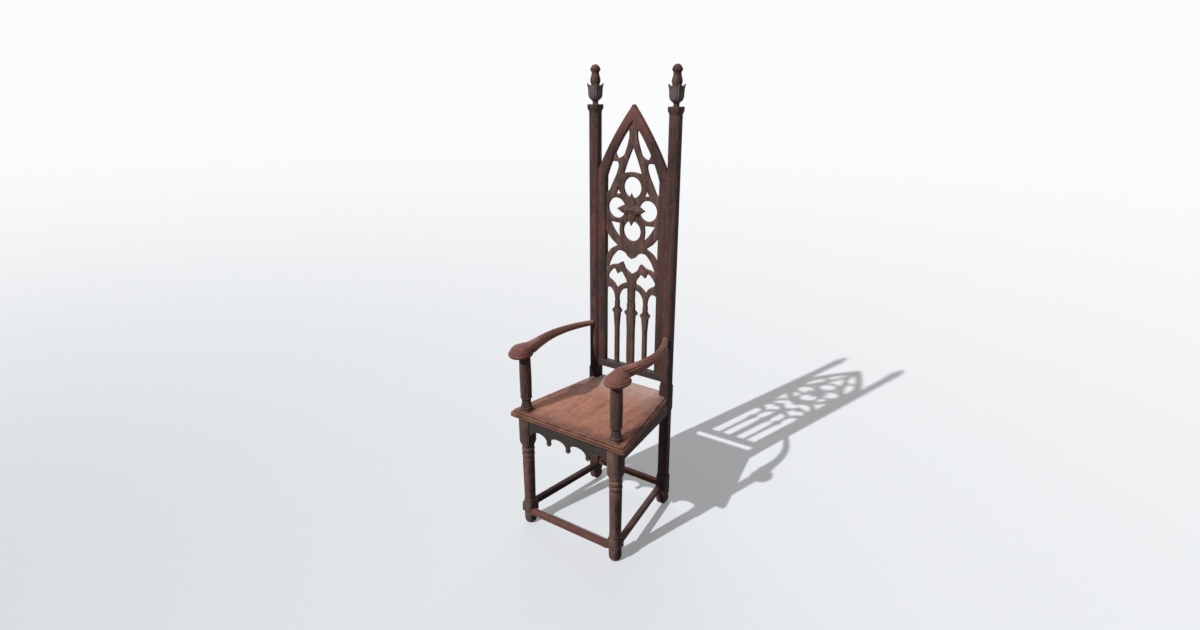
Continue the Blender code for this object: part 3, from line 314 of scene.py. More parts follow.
# Rear posts: (height, half width, corner, flat corner) from the floor up
POST_LEVELS = (
    (0.0000, 0.0118, 0.0045, False), (0.0030, 0.0152, 0.0050, False), (0.0090, 0.0180, 0.0055, False),
    (0.0170, 0.0193, 0.0055, False), (0.0250, 0.0195, 0.0055, False), (0.0305, 0.0190, 0.0055, False),
    (0.0340, 0.0176, 0.0055, False), (0.0356, 0.0170, 0.0055, False), (0.0368, 0.0170, 0.0045, False),
    (0.0380, 0.0188, 0.0020, True), (0.0394, 0.0195, 0.0016, True), (0.1215, 0.0195, 0.0016, True),
    (0.1320, 0.0190, 0.0070, True), (0.4040, 0.0190, 0.0070, True), (0.4140, 0.0195, 0.0016, True),
    (0.5070, 0.0195, 0.0016, True), (0.5170, 0.0190, 0.0070, True),
)


def post_rings(axis):
    levels = POST_LEVELS + ((POST_TOP, *POST_LEVELS[-1][1:]),)
    return [section(half, corner, z, axis, POST_CORNER_POINTS, flat) for z, half, corner, flat in levels]


# Post caps: (share of the cap's height, half width, corner)
CAP_LEVELS = (
    (0.00, 0.0190, 0.0070), (0.10, 0.0191, 0.0066), (0.22, 0.0194, 0.0056), (0.34, 0.0199, 0.0040),
    (0.44, 0.0205, 0.0020), (0.49, 0.02075, 0.0014), (1.00, 0.02075, 0.0014),
)


def cap_rings(axis):
    rings = []
    for share, half, corner in CAP_LEVELS:
        z = CAP_LOW + (CAP_TOP - CAP_LOW) * share
        rings.append(section(half, corner, z, axis, POST_CORNER_POINTS, True))
    return rings


# Finials: (height above the cap, radius, ridge, reach of the leaf tips, rise of the tips)
FINIAL_LEVELS = (
    (0.0003, 0.0104), (0.0060, 0.0098), (0.0110, 0.0104, 0.0002), (0.0135, 0.0128, 0.0004),
    (0.0165, 0.0168, 0.0006), (0.0205, 0.0204, 0.0008), (0.0255, 0.0228, 0.0010),
    (0.0310, 0.0236, 0.0012, 0.0002), (0.0380, 0.0234, 0.0013, 0.0006, 0.0004),
    (0.0450, 0.0230, 0.0013, 0.0012, 0.0012), (0.0520, 0.0230, 0.0012, 0.0024, 0.0030),
    (0.0575, 0.0232, 0.0010, 0.0042, 0.0058), (0.0612, 0.0234, 0.0006, 0.0062, 0.0100),
    (0.0613, 0.0222, 0.0003, 0.0060, 0.0101), (0.0590, 0.0196, 0, 0.0026, 0.0066),
    (0.0575, 0.0165, 0, 0.0006, 0.0022), (0.0570, 0.0128), (0.0600, 0.0124), (0.0640, 0.0134, 0.0002),
    (0.0690, 0.0155, 0.0004), (0.0745, 0.0171, 0.0006), (0.0800, 0.0175, 0.0006),
    (0.0855, 0.0168, 0.0005), (0.0910, 0.0151, 0.0004), (0.0960, 0.0140, 0.0002), (0.1000, 0.0132),
    (0.1030, 0.0130), (0.1055, 0.0134, 0.0002), (0.1085, 0.0142, 0.0008),
    (0.1115, 0.0155, 0.0016, 0.0003), (0.1145, 0.0157, 0.0020, 0.0004), (0.1180, 0.0153, 0.0014),
    (0.1220, 0.0143, 0.0008), (0.1255, 0.0122, 0.0004), (0.1285, 0.0092), (0.1304, 0.0058),
    (0.1312, 0.0024),
)
# Shape of a leaf: pointedness, narrowness of its rib, height of its veins against the ridge
LEAF_POINT = 1.35
RIB_NARROWNESS = 3.2
VEIN_SHARE = 0.4


def finial_ring(axis, z, radius, ridge=0, reach=0, rise=0):
    """Ring with four pointed leaves on its diagonals."""
    ring = []
    for index in range(FINIAL_POINTS):
        angle = (index + 0.5) / FINIAL_POINTS * 2 * math.pi
        off = abs((angle / (math.pi / 2)) % 1 - 0.5) * 2
        leaf = (1 - off) ** LEAF_POINT
        rib = max(0.0, 1 - off * RIB_NARROWNESS) ** 2
        veins = VEIN_SHARE * math.cos(off * 4 * math.pi)
        out = radius + reach * leaf + ridge * (rib + veins)
        spoke = Vector((out * math.cos(angle), out * math.sin(angle), z + rise * leaf))
        ring.append(axis + spoke)
    return ring


def finial_rings(axis):
    return [finial_ring(axis, CAP_TOP + z, *form) for z, *form in FINIAL_LEVELS]


# Arms: the bowed line, its thickness and the domed hand-hold
ARM_HEIGHT = SEAT_TOP + 0.229
ARM_REAR = POST.y - 0.0193
ARM_FRONT = LEG.y + 0.0315
ARM_BOW = 0.0358
ARM_STEPS = 26
# (share of the bar, half width, height above the line, depth below it)
BAR_SIZES = (
    (0.00, 0.0102, 0.0102, 0.0102), (0.35, 0.0134, 0.0134, 0.0134), (0.70, 0.0177, 0.0179, 0.0179),
    (0.86, 0.0206, 0.0206, 0.0196), (0.95, 0.0238, 0.0230, 0.0196), (1.00, 0.0262, 0.0241, 0.0186),
)
# The same where the bar runs on into the hand-hold
SPOON_SIZES = (
    (0.35, 0.0315, 0.0252, 0.0150), (0.70, 0.0345, 0.0256, 0.0110), (1.00, 0.0350, 0.0252, 0.0085),
)
HAND = Vector((LEG.x + 0.0095, LEG.y - 0.0085, ARM_HEIGHT))
HAND_RIM = ARM_HEIGHT - 0.009
HAND_LENGTHENING = 1.12
# (radius, height from the rim) of the hand-hold, from the top of the dome down
HAND_PROFILE = (
    (0.0000, 0.0340), (0.0080, 0.0334), (0.0160, 0.0314), (0.0230, 0.0280), (0.0290, 0.0236),
    (0.0336, 0.0188), (0.0366, 0.0144), (0.0385, 0.0104), (0.0391, 0.0084), (0.0389, 0.0070),
    (0.0393, 0.0058), (0.0411, 0.0044), (0.0425, 0.0022), (0.0428, -0.0006), (0.0420, -0.0038),
    (0.0400, -0.0066), (0.0364, -0.0086), (0.0300, -0.0098), (0.0200, -0.0102), (0.0000, -0.0102),
)
ARM_GRAIN = 0.0010
# Sanding of the whole arm and of the top of the dome
ARM_RUBS = 2
DOME_RUBS = 24
DOME_LOW = HAND_RIM + 0.012
DOME_REAR = ARM_FRONT + 0.03
# Angles above the level of the carved lines on each flank, in degrees, and their size
UPPER_LINES = (82, 58)
LOWER_LINES = (34, 10, -16, -42)
LINE_DEPTH = 0.0024
LINE_SPREAD = 4.5
# Shares of the bar where the lines begin and reach full depth, and where the upper ones fade and end
LINES_BEGIN = 0.02
LINES_GROW = 0.4
UPPER_END = 0.92
UPPER_FADE = 0.25
# How far the lines run over the hand-hold, against its distance from the bar's end
LINES_ONWARD = 1.4
# How bright hands rub the upper side, with a painted highlight from above, at the post, and how much less
# at the hand-hold
POLISH_AND_HIGHLIGHT = 0.65
POLISH_AND_HIGHLIGHT_LOSS = 0.40


def arm_point(share):
    """Point of the arm's bowed line, from the post to the hand-hold."""
    bow = ARM_BOW * math.sin(math.pi * share ** 0.9)
    x = POST.x + (LEG.x - POST.x) * share + bow
    return Vector((x, ARM_REAR + (ARM_FRONT - ARM_REAR) * share, ARM_HEIGHT))


def arm_heading(share):
    return arm_point(min(share + 0.01, 1)) - arm_point(max(share - 0.01, 0))


BAR_END = arm_point(1)
BAR_HEADING = (BAR_END - arm_point(0.99)).normalized()


def between(table, share):
    """Sizes at one place of a table of (share, sizes), along straight lines."""
    for (low, *start), (high, *end) in zip(table, table[1:]):
        if share <= high:
            part = (share - low) / (high - low)
            return [a + (b - a) * part for a, b in zip(start, end)]
    return list(table[-1][1:])


def arm_ring(centre, heading, half, above, below):
    across = Vector((-heading.y, heading.x, 0)).normalized()
    ring = []
    for index in range(ARM_POINTS):
        angle = index / ARM_POINTS * 2 * math.pi
        rise = math.sin(angle)
        rise *= above if rise > 0 else below
        ring.append(centre + across * half * math.cos(angle) + Vector((0, 0, rise)))
    return ring


def arm_bar():
    """The bowed bar from the post, spreading like a spoon into the hand-hold."""
    rings = []
    for step in range(ARM_STEPS + 1):
        share = step / ARM_STEPS
        rings.append(arm_ring(arm_point(share), arm_heading(share), *between(BAR_SIZES, share)))
    for share, *sizes in SPOON_SIZES:
        rings.append(arm_ring(BAR_END + (HAND - BAR_END) * share, BAR_HEADING, *sizes))
    return drawn_out(rings)


def hand_hold():
    """Domed end of the arm, a little longer along the arm than across it."""
    knob = turned([(radius, HAND_RIM + z) for radius, z in HAND_PROFILE], HAND)
    for vert in knob.verts:
        level = Vector((vert.co.x - HAND.x, vert.co.y - HAND.y, 0))
        vert.co += BAR_HEADING * level.dot(BAR_HEADING) * (HAND_LENGTHENING - 1)
    return knob


def line_depth(angle, lines):
    return sum(math.exp(-((angle - line) / LINE_SPREAD) ** 2) for line in lines)


def carve_lines(bm):
    """Run shallow lines along the bar and over the hand-hold, fading out at both ends."""
    bm.normal_update()
    reach = (HAND - BAR_END).length
    for vert in bm.verts:
        share = max(0, (vert.co.y - ARM_REAR) / (ARM_FRONT - ARM_REAR))
        if share < 1:
            centre = arm_point(share)
            heading = arm_heading(share)
            fade = min(1, max(0, share - LINES_BEGIN) / LINES_GROW)
            upper = min(1, max(0, UPPER_END - share) / UPPER_FADE)
        else:
            onward = (vert.co - BAR_END).dot(BAR_HEADING)
            centre = BAR_END + BAR_HEADING * onward
            heading = BAR_HEADING
            fade = max(0, 1 - onward / (LINES_ONWARD * reach))
            upper = 0
        across = Vector((-heading.y, heading.x, 0)).normalized()
        angle = math.degrees(math.atan2(vert.co.z - centre.z, abs((vert.co - centre).dot(across))))
        depth = line_depth(angle, LOWER_LINES) + upper * line_depth(angle, UPPER_LINES)
        vert.co -= vert.normal * LINE_DEPTH * fade * depth


def hand_polish_and_highlight(vert):
    """Hands rub the upper side of the arms bright; brighter the more it faces up, which is also a painted
    highlight.
    """
    near_hand = min(1, max(0, (ARM_REAR - vert.co.y) / (ARM_REAR - ARM_FRONT)))
    return max(0, vert.normal.z + 0.3) ** 1.5 * (POLISH_AND_HIGHLIGHT - POLISH_AND_HIGHLIGHT_LOSS * near_hand)


def make_arms(wood):
    for word, side in SIDES:
        bm = carved_from(joined([arm_bar(), hand_hold()]), ARM_GRAIN)
        rub(bm, ARM_RUBS)
        rub(bm, DOME_RUBS, [vert for vert in bm.verts if vert.co.z > DOME_LOW and vert.co.y < DOME_REAR])
        carve_lines(bm)
        name = "arm_" + word
        finished("carved_" + name, mirrored(bm, side), wood, "arm_wood", name, polish_and_highlight=hand_polish_and_highlight)


# Rosette: four pointed leaves and a centre boss on the face of the tracery
PETAL_LENGTH = 0.0585
PETAL_HALF = 0.0165
PETAL_RELIEF = 0.0105
PETAL_RIB = 0.0014
PETAL_VEIN = 0.0007
SIDE_LEAF_LIFT = 0.0036
ROSETTE_BACK = Vector((0, PANEL_FACE - CLEARANCE, ROSE.z))
ROSETTE_GRAIN = 0.0008
ROSETTE_RUBS = 2
BOSS_PROFILE = (
    (0.0000, 0.0104), (0.0040, 0.0102), (0.0075, 0.0093), (0.0100, 0.0078), (0.0112, 0.0058),
    (0.0116, 0.0030), (0.0116, 0.0000), (0.0000, 0.0000),
)


def turned_about(axis, degrees):
    return Matrix.Rotation(math.radians(degrees), 3, axis)


def petal(turn, lift):
    """One leaf with a raised midrib, pointing up, then turned about the rosette's middle."""
    bm = bmesh.new()
    bmesh.ops.create_grid(bm, x_segments=24, y_segments=36, size=0.5)
    for vert in bm.verts:
        across = vert.co.x * 2
        along = vert.co.y + 0.5
        half = PETAL_HALF * math.sin(math.pi * (0.2 + 0.8 * along) ** 0.92) ** 1.05
        scallop = 1 + 0.07 * math.cos(along * 6 * math.pi) * (1 - along)
        rib = PETAL_RIB * max(0, 1 - abs(across) * 5)
        slant = (along * 9 - abs(across) * 2.2) * math.pi
        vein = PETAL_VEIN * math.cos(slant) * abs(across) * (1 - along)
        body = PETAL_RELIEF * (1 - 0.42 * along) * (1 - 0.6 * across ** 2)
        vert.co = Vector((across * half * scallop, -(lift + body + rib + vein), along * PETAL_LENGTH))
    for item in bmesh.ops.extrude_face_region(bm, geom=bm.faces[:])["geom"]:
        if isinstance(item, bmesh.types.BMVert):
            item.co.y = 0.0
    bmesh.ops.remove_doubles(bm, verts=bm.verts, dist=MERGE)
    bmesh.ops.recalc_face_normals(bm, faces=bm.faces)
    bmesh.ops.rotate(bm, verts=bm.verts, cent=(0, 0, 0), matrix=turned_about("Y", turn))
    bmesh.ops.translate(bm, vec=ROSETTE_BACK, verts=bm.verts)
    return bm


def make_rosette(wood):
    boss = turned(BOSS_PROFILE, Vector((0, 0, 0)))
    bmesh.ops.rotate(boss, verts=boss.verts, cent=(0, 0, 0), matrix=turned_about("X", 90))
    bmesh.ops.translate(boss, vec=ROSETTE_BACK, verts=boss.verts)
    leaves = [petal(turn, SIDE_LEAF_LIFT if turn % 180 else 0.0) for turn in (0, 90, 180, 270)]
    bm = carved_from(joined(leaves + [boss]), ROSETTE_GRAIN)
    rub(bm, ROSETTE_RUBS)
    finished("carved_rosette", bm, wood, "tracery_wood", "rosette_boss")


# Seat: its outline, and the moulded edge as (how far in, height above the underside)
SEAT_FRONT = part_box("seat_board")[0].y
SEAT_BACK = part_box("seat_board")[1].y
SEAT_WIDE = LEG.x + 0.0526
SEAT_NARROW = POST.x + 0.0080
NOTCH_FRONT = POST.y - 0.0198
NOTCH_SIDE = POST.x - 0.0198
SEAT_CORNER = 0.010
SEAT_CORNER_SHARES = (0, 0.2, 0.4, 0.6, 0.8, 1)
SEAT_EDGE = (
    (0.0040, 0.0000), (0.0010, 0.0026), (0.0000, 0.0042), (0.0000, 0.0084), (0.0008, 0.0093),
    (0.0032, 0.0100), (0.0037, 0.0107), (0.0033, 0.0115), (0.0016, 0.0125), (0.0008, 0.0143),
    (0.0010, 0.0162), (0.0022, 0.0180), (0.0042, 0.0191), (0.0066, 0.0195), (0.0071, 0.0202),
    (0.0073, 0.0232), (0.0081, 0.0249), (0.0095, 0.0257), (0.0115, 0.0260), (0.0170, 0.0260),
)


def seat_ring(inset, z):
    """Seat outline, drawn in from its front and sides, with the notches for the posts."""
    front = SEAT_FRONT + inset
    wide = SEAT_WIDE - inset
    narrow = SEAT_NARROW - inset
    corner = Vector((wide, front, z))
    back_share = (NOTCH_FRONT - front) / (SEAT_BACK - front)
    side_end = Vector((wide + (narrow - wide) * back_share, NOTCH_FRONT, z))
    first = corner - Vector((SEAT_CORNER, 0, 0))
    last = corner + (side_end - corner).normalized() * SEAT_CORNER
    right = [first * (1 - t) ** 2 + corner * 2 * t * (1 - t) + last * t ** 2 for t in SEAT_CORNER_SHARES]
    right += [side_end, Vector((NOTCH_SIDE, NOTCH_FRONT, z)), Vector((NOTCH_SIDE, SEAT_BACK, z))]
    return right + [Vector((-point.x, point.y, point.z)) for point in reversed(right)]


def make_seat(wood):
    bm = drawn_out([seat_ring(inset, SEAT_UNDERSIDE + z) for inset, z in SEAT_EDGE])
    bmesh.ops.remove_doubles(bm, verts=bm.verts, dist=MERGE)
    bmesh.ops.dissolve_degenerate(bm, dist=MERGE, edges=bm.edges)
    bmesh.ops.recalc_face_normals(bm, faces=bm.faces)
    finished("moulded_seat_board", bm, wood, "seat_wood", "seat_board")


# Apron: round arches between drops; each drop is (radius, height above the lowest point)
APRON_BAYS = 4
APRON_HALF = LEG.x - 0.0223
ARCH_CROWN = SEAT_UNDERSIDE - 0.0420
ARCH_HALF = 0.0366
ARCH_RISE = 0.0235
ARCH_STEPS = 20
DROP_PROFILE = (
    (0.0000, -0.0020), (0.0030, -0.0016), (0.0059, 0.0004), (0.0081, 0.0038), (0.0095, 0.0076),
    (0.0098, 0.0092), (0.0085, 0.0106), (0.0064, 0.0117), (0.0058, 0.0132), (0.0060, 0.0164),
    (0.0000, 0.0164),
)


def arch_edge():
    """Lower edge of the apron from left to right: an arch in each bay."""
    bay = 2 * APRON_HALF / APRON_BAYS
    spring = ARCH_CROWN - ARCH_RISE
    points = [Vector((-APRON_HALF, APRON_LOW.y, spring))]
    for index in range(APRON_BAYS):
        middle = (index + 0.5) * bay - APRON_HALF
        for step in range(ARCH_STEPS + 1):
            angle = step / ARCH_STEPS * math.pi
            points.append(Vector((middle - ARCH_HALF * math.cos(angle), APRON_LOW.y,
                                  spring + ARCH_RISE * math.sin(angle))))
    return points + [Vector((APRON_HALF, APRON_LOW.y, spring))]


def make_apron(wood):
    bm = bmesh.new()
    low = [bm.verts.new(point) for point in arch_edge()]
    edges = [bm.edges.new(pair) for pair in zip(low, low[1:])]
    for item in bmesh.ops.extrude_edge_only(bm, edges=edges)["geom"]:
        if isinstance(item, bmesh.types.BMVert):
            item.co.z = APRON_HIGH.z
    for item in bmesh.ops.extrude_face_region(bm, geom=bm.faces[:])["geom"]:
        if isinstance(item, bmesh.types.BMVert):
            item.co.y = APRON_HIGH.y
    bmesh.ops.recalc_face_normals(bm, faces=bm.faces)
    bmesh.ops.dissolve_limit(bm, angle_limit=FLAT_ANGLE, verts=bm.verts, edges=bm.edges)
    finished("arched_apron", ease(bm, BACK_EASE, SQUARE_ANGLE), wood, "frame_wood", "front_apron")
    middle_y = (APRON_LOW.y + APRON_HIGH.y) / 2
    drops = [turned([(radius, APRON_LOW.z + z) for radius, z in DROP_PROFILE],
                    Vector((APRON_HALF * (2 * index / APRON_BAYS - 1), middle_y, 0)))
             for index in range(1, APRON_BAYS)]
    finished("apron_drops", joined(drops), wood, "frame_wood")


# Round lights of the tracery: cuts in each straight of the frame's outline
ROUND_CUTS = 2
# Nearness of two depths or radii, and the slant past which a face no longer looks to the front
NEAR = 0.0005
FRONTWARD = -0.9


def front_outlines(bm):
    """Outlines of the panel's front face as rows of vertices."""
    following = {}
    for face in bm.faces:
        if face.normal.y > FRONTWARD or abs(face.verts[0].co.y - PANEL_FACE) > NEAR:
            continue
        for loop in face.loops:
            if any(other.normal.y > FRONTWARD for other in loop.edge.link_faces):
                following[loop.vert] = loop.link_loop_next.vert
    outlines = []
    while following:
        first, vert = following.popitem()
        outline = [first]
        while vert is not first:
            outline.append(vert)
            vert = following.pop(vert)
        outlines.append(outline)
    return outlines


def round_lights(bm):
    """Draw the round lights of the rose with more and shorter straights."""
    circles = []
    ends = set()
    for outline in front_outlines(bm):
        middle = sum((vert.co for vert in outline), Vector()) / len(outline)
        reach = [(vert.co - middle).length for vert in outline]
        if max(reach) - min(reach) > NEAR:
            continue
        circles.append((middle, reach[0]))
        walls = {face for vert in outline for face in vert.link_faces if abs(face.normal.y) < 0.1}
        ends.update(edge for wall in walls for edge in wall.edges
                    if abs(edge.verts[0].co.y - edge.verts[1].co.y) < NEAR)
    ends = [edge for edge in bm.edges if edge in ends]
    made = bmesh.ops.subdivide_edges(bm, edges=ends, cuts=ROUND_CUTS)["geom_inner"]
    for vert in made:
        if not isinstance(vert, bmesh.types.BMVert):
            continue
        level = Vector((vert.co.x, PANEL_FACE, vert.co.z))
        middle, radius = min(circles, key=lambda circle: abs((level - circle[0]).length - circle[1]))
        place = middle + (level - middle).normalized() * radius
        vert.co.x = place.x
        vert.co.z = place.z
    return bm


# Places on jambs and limbs where edges stay sharp: the groove, the joint and the arch's point
GROOVE_HALF = 0.0075
JOINT_HALF = 0.002
POINT_HALF = 0.012
POINT_DEPTH = 0.060


def stays_sharp(place):
    """True in the groove for the tracery, where jamb and limb meet and at the point of the arch."""
    at_point = abs(place.x) < POINT_HALF and place.z > ARCH_POINT - POINT_DEPTH
    return abs(place.y - POST.y) < GROOVE_HALF or abs(place.z - JAMB_TOP) < JOINT_HALF or at_point


def grown(bm, by, lift):
    """Make a bar stouter all round, and lift it a little."""
    bm.normal_update()
    moves = [vert.normal * vert.calc_shell_factor() * by for vert in bm.verts]
    for vert, move in zip(bm.verts, moves):
        vert.co += move + Vector((0, 0, lift))
    return bm


# Bars that keep the frame's form: (piece, wood, slot)
PLAIN_BARS = (
    ("side_rail_left", "deep", "frame_wood"), ("side_rail_right", "deep", "frame_wood"),
    ("rear_rail", "across", "frame_wood"), ("rear_stretcher", "stretcher", "frame_wood"),
    ("back_bottom_rail", "smoked", "frame_wood"), ("centre_mullion", "tracery", "tracery_wood"),
    ("side_mullion_left", "tracery", "tracery_wood"), ("side_mullion_right", "tracery", "tracery_wood"),
)
# Bars that are a little stouter than in the frame: (piece, growth, lift, wood)
STOUT_BARS = (
    # The left side stretcher gets near-black wood: painted shade for the shadow it lies in
    ("front_stretcher", 0.0016, -0.0006, "stretcher"), ("side_stretcher_left", 0.0018, 0.0015, "shade_darkened"),
    ("side_stretcher_right", 0.0014, 0.0012, "deep"),
)
ARCH_PIECES = ("arch_jamb_left", "arch_jamb_right", "arch_limb_left", "arch_limb_right")
HIDDEN_PIECES = ("corner_block", "jamb_dowel")


def make_plain_pieces(woods):
    """Pieces that keep the frame's own form, with their edges eased; the hidden ones only get wood."""
    for node, wood, slot in PLAIN_BARS:
        finished("eased_" + node, ease(copied(node), EDGE_EASE, SQUARE_ANGLE), woods[wood], slot, node)
    for node, by, lift, wood in STOUT_BARS:
        bm = ease(grown(copied(node), by, lift), EDGE_EASE, SQUARE_ANGLE)
        finished("eased_" + node, bm, woods[wood], "frame_wood", node)
    for node in ARCH_PIECES:
        bm = ease(copied(node), BACK_EASE, SQUARE_ANGLE, stays_sharp)
        finished("eased_" + node, bm, woods["limb"], "frame_wood", node)
    panel = ease(round_lights(copied("tracery_panel")), PANEL_EASE, PANEL_ANGLE)
    finished("eased_tracery_panel", panel, woods["tracery"], "tracery_wood", "tracery_panel")
    for node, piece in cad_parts.items():
        if node.startswith(HIDDEN_PIECES):
            piece.data.materials.clear()
            piece.data.materials.append(woods["upright"])


# Woods: node helpers
COLOUR = "NodeSocketColor"
VALUE = "NodeSocketFloat"
VECTOR = "NodeSocketVector"
PORE_DARK = (0.012, 0.008, 0.007, 1)
HAZE_SHIFT = (3.1, 1.7, 5.3)
BUMP_STRENGTH = 0.35
BUMP_DEPTH = 0.0005
GLOSS = 0.04


def feed(tree, socket, value):
    if isinstance(value, bpy.types.NodeSocket):
        tree.links.new(value, socket)
    else:
        socket.default_value = value


def noise(tree, place, scale, detail=4.0, rough=0.55):
    node = tree.nodes.new("ShaderNodeTexNoise")
    feed(tree, node.inputs["Vector"], place)
    node.inputs["Scale"].default_value = scale
    node.inputs["Detail"].default_value = detail
    node.inputs["Roughness"].default_value = rough
    return node.outputs["Fac"]


def ranged(tree, value, low, high, to_low=0.0, to_high=1.0):
    node = tree.nodes.new("ShaderNodeMapRange")
    for socket, given in zip(node.inputs, (value, low, high, to_low, to_high)):
        feed(tree, socket, given)
    return node.outputs["Result"]


def worked(tree, operation, first, second=0.0):
    node = tree.nodes.new("ShaderNodeMath")
    node.operation = operation
    feed(tree, node.inputs[0], first)
    feed(tree, node.inputs[1], second)
    return node.outputs["Value"]


def mixed(tree, share, first, second, blend="MIX"):
    node = tree.nodes.new("ShaderNodeMix")
    node.data_type = "RGBA"
    node.blend_type = blend
    feed(tree, node.inputs[0], share)
    feed(tree, node.inputs[6], first)
    feed(tree, node.inputs[7], second)
    return node.outputs[2]


def stretched(tree, place, scale, shift=(0, 0, 0)):
    node = tree.nodes.new("ShaderNodeMapping")
    feed(tree, node.inputs["Vector"], place)
    node.inputs["Scale"].default_value = scale
    node.inputs["Location"].default_value = shift
    return node.outputs["Vector"]


def new_group(name, inputs, outputs):
    group = bpy.data.node_groups.new(name, "ShaderNodeTree")
    for word, kind in inputs:
        group.interface.new_socket(word, in_out="INPUT", socket_type=kind)
    for word, kind in outputs:
        group.interface.new_socket(word, in_out="OUTPUT", socket_type=kind)
    return group, group.nodes.new("NodeGroupInput").outputs, group.nodes.new("NodeGroupOutput").inputs


def figure_group():
    """Old wood: streaks along the grain, reddish flush, dark smoky stain and fine pores."""
    group, given, made = new_group(
        "wood_figure",
        (("Place", VECTOR), ("Grain", VECTOR), ("Early", COLOUR), ("Late", COLOUR), ("Flush", COLOUR),
         ("Flush Amount", VALUE), ("Smoke", COLOUR), ("Smoke Amount", VALUE), ("Mottle", VALUE),
         ("Dullness", VALUE)),
        (("Colour", COLOUR), ("Roughness", VALUE), ("Height", VALUE)))
    sway = noise(group, given["Place"], 7.0, 3.0)
    bent = group.nodes.new("ShaderNodeVectorMath")
    bent.operation = "ADD"
    group.links.new(given["Grain"], bent.inputs[0])
    group.links.new(worked(group, "MULTIPLY", sway, 1.6), bent.inputs[1])
    grain = bent.outputs["Vector"]
    broad = ranged(group, noise(group, grain, 1.3, 3.0), 0.40, 0.62)
    streak = ranged(group, noise(group, grain, 5.0, 6.0, 0.65), 0.38, 0.64)
    pores = ranged(group, noise(group, grain, 26.0, 2.0), 0.56, 0.74)
    broad_part = worked(group, "MULTIPLY", broad, 0.45)
    figure = worked(group, "ADD", broad_part, worked(group, "MULTIPLY", streak, 0.55))
    colour = mixed(group, figure, given["Early"], given["Late"])
    patch = ranged(group, noise(group, given["Place"], 8.0, 5.0, 0.6), 0.44, 0.66)
    colour = mixed(group, worked(group, "MULTIPLY", patch, given["Flush Amount"]), colour, given["Flush"])
    elsewhere = stretched(group, given["Place"], (1, 1, 1), HAZE_SHIFT)
    haze = ranged(group, noise(group, elsewhere, 6.5, 6.0, 0.62), 0.46, 0.66)
    colour = mixed(group, worked(group, "MULTIPLY", haze, given["Smoke Amount"]), colour, given["Smoke"])
    colour = mixed(group, worked(group, "MULTIPLY", pores, 0.55), colour, PORE_DARK)
    mottle = ranged(group, noise(group, given["Place"], 210.0, 3.0, 0.65), 0.30, 0.70, 0.70, 1.28)
    colour = mixed(group, given["Mottle"], colour, mottle, "MULTIPLY")
    feed(group, made["Colour"], colour)
    uneven = ranged(group, noise(group, given["Place"], 22.0, 4.0), 0.3, 0.7, -0.08, 0.1)
    feed(group, made["Roughness"], worked(group, "ADD", given["Dullness"], uneven))
    relief = worked(group, "SUBTRACT", worked(group, "MULTIPLY", streak, 0.5), pores)
    feed(group, made["Height"], relief)
    return group


def wear_group():
    """Edges and handled places rubbed to a paler, redder wood, in uneven patches; on the arms' upper side
    also a painted highlight.
    """
    group, given, made = new_group(
        "edge_wear",
        (("Place", VECTOR), ("Colour", COLOUR), ("Worn", COLOUR), ("Wear", VALUE), ("Amount", VALUE)),
        (("Colour", COLOUR),))
    uneven = ranged(group, noise(group, given["Place"], 38.0, 4.0, 0.6), 0.36, 0.62, 0.15, 1.0)
    mask = worked(group, "MULTIPLY", worked(group, "MULTIPLY", given["Wear"], uneven), given["Amount"])
    feed(group, made["Colour"], mixed(group, mask, given["Colour"], given["Worn"]))
    return group


def soil_and_shade_group():
    """Old dirt and smoke, and painted shade, where a mask puts them, in uneven patches."""
    group, given, made = new_group(
        "soil_and_shade",
        (("Place", VECTOR), ("Colour", COLOUR), ("Soil", COLOUR), ("Mask", VALUE)),
        (("Colour", COLOUR),))
    uneven = ranged(group, noise(group, given["Place"], 30.0, 5.0, 0.65), 0.34, 0.60, 0.45, 1.0)
    mask = worked(group, "MULTIPLY", given["Mask"], uneven)
    feed(group, made["Colour"], mixed(group, mask, given["Colour"], given["Soil"]))
    return group


def apart(tree, place):
    node = tree.nodes.new("ShaderNodeSeparateXYZ")
    feed(tree, node.inputs["Vector"], place)
    return node.outputs["X"], node.outputs["Y"], node.outputs["Z"]


def most_of(tree, *masks):
    most = masks[0]
    for mask in masks[1:]:
        most = worked(tree, "MAXIMUM", most, mask)
    return most


def height_band(low, high, fade, most):
    """Mask of the places between two heights."""
    def mask(tree, place):
        z = apart(tree, place)[2]
        rise = ranged(tree, z, low - fade, low + fade, 0.0, most)
        return worked(tree, "MULTIPLY", rise, ranged(tree, z, high - fade, high + fade, 1.0, 0.0))
    return mask


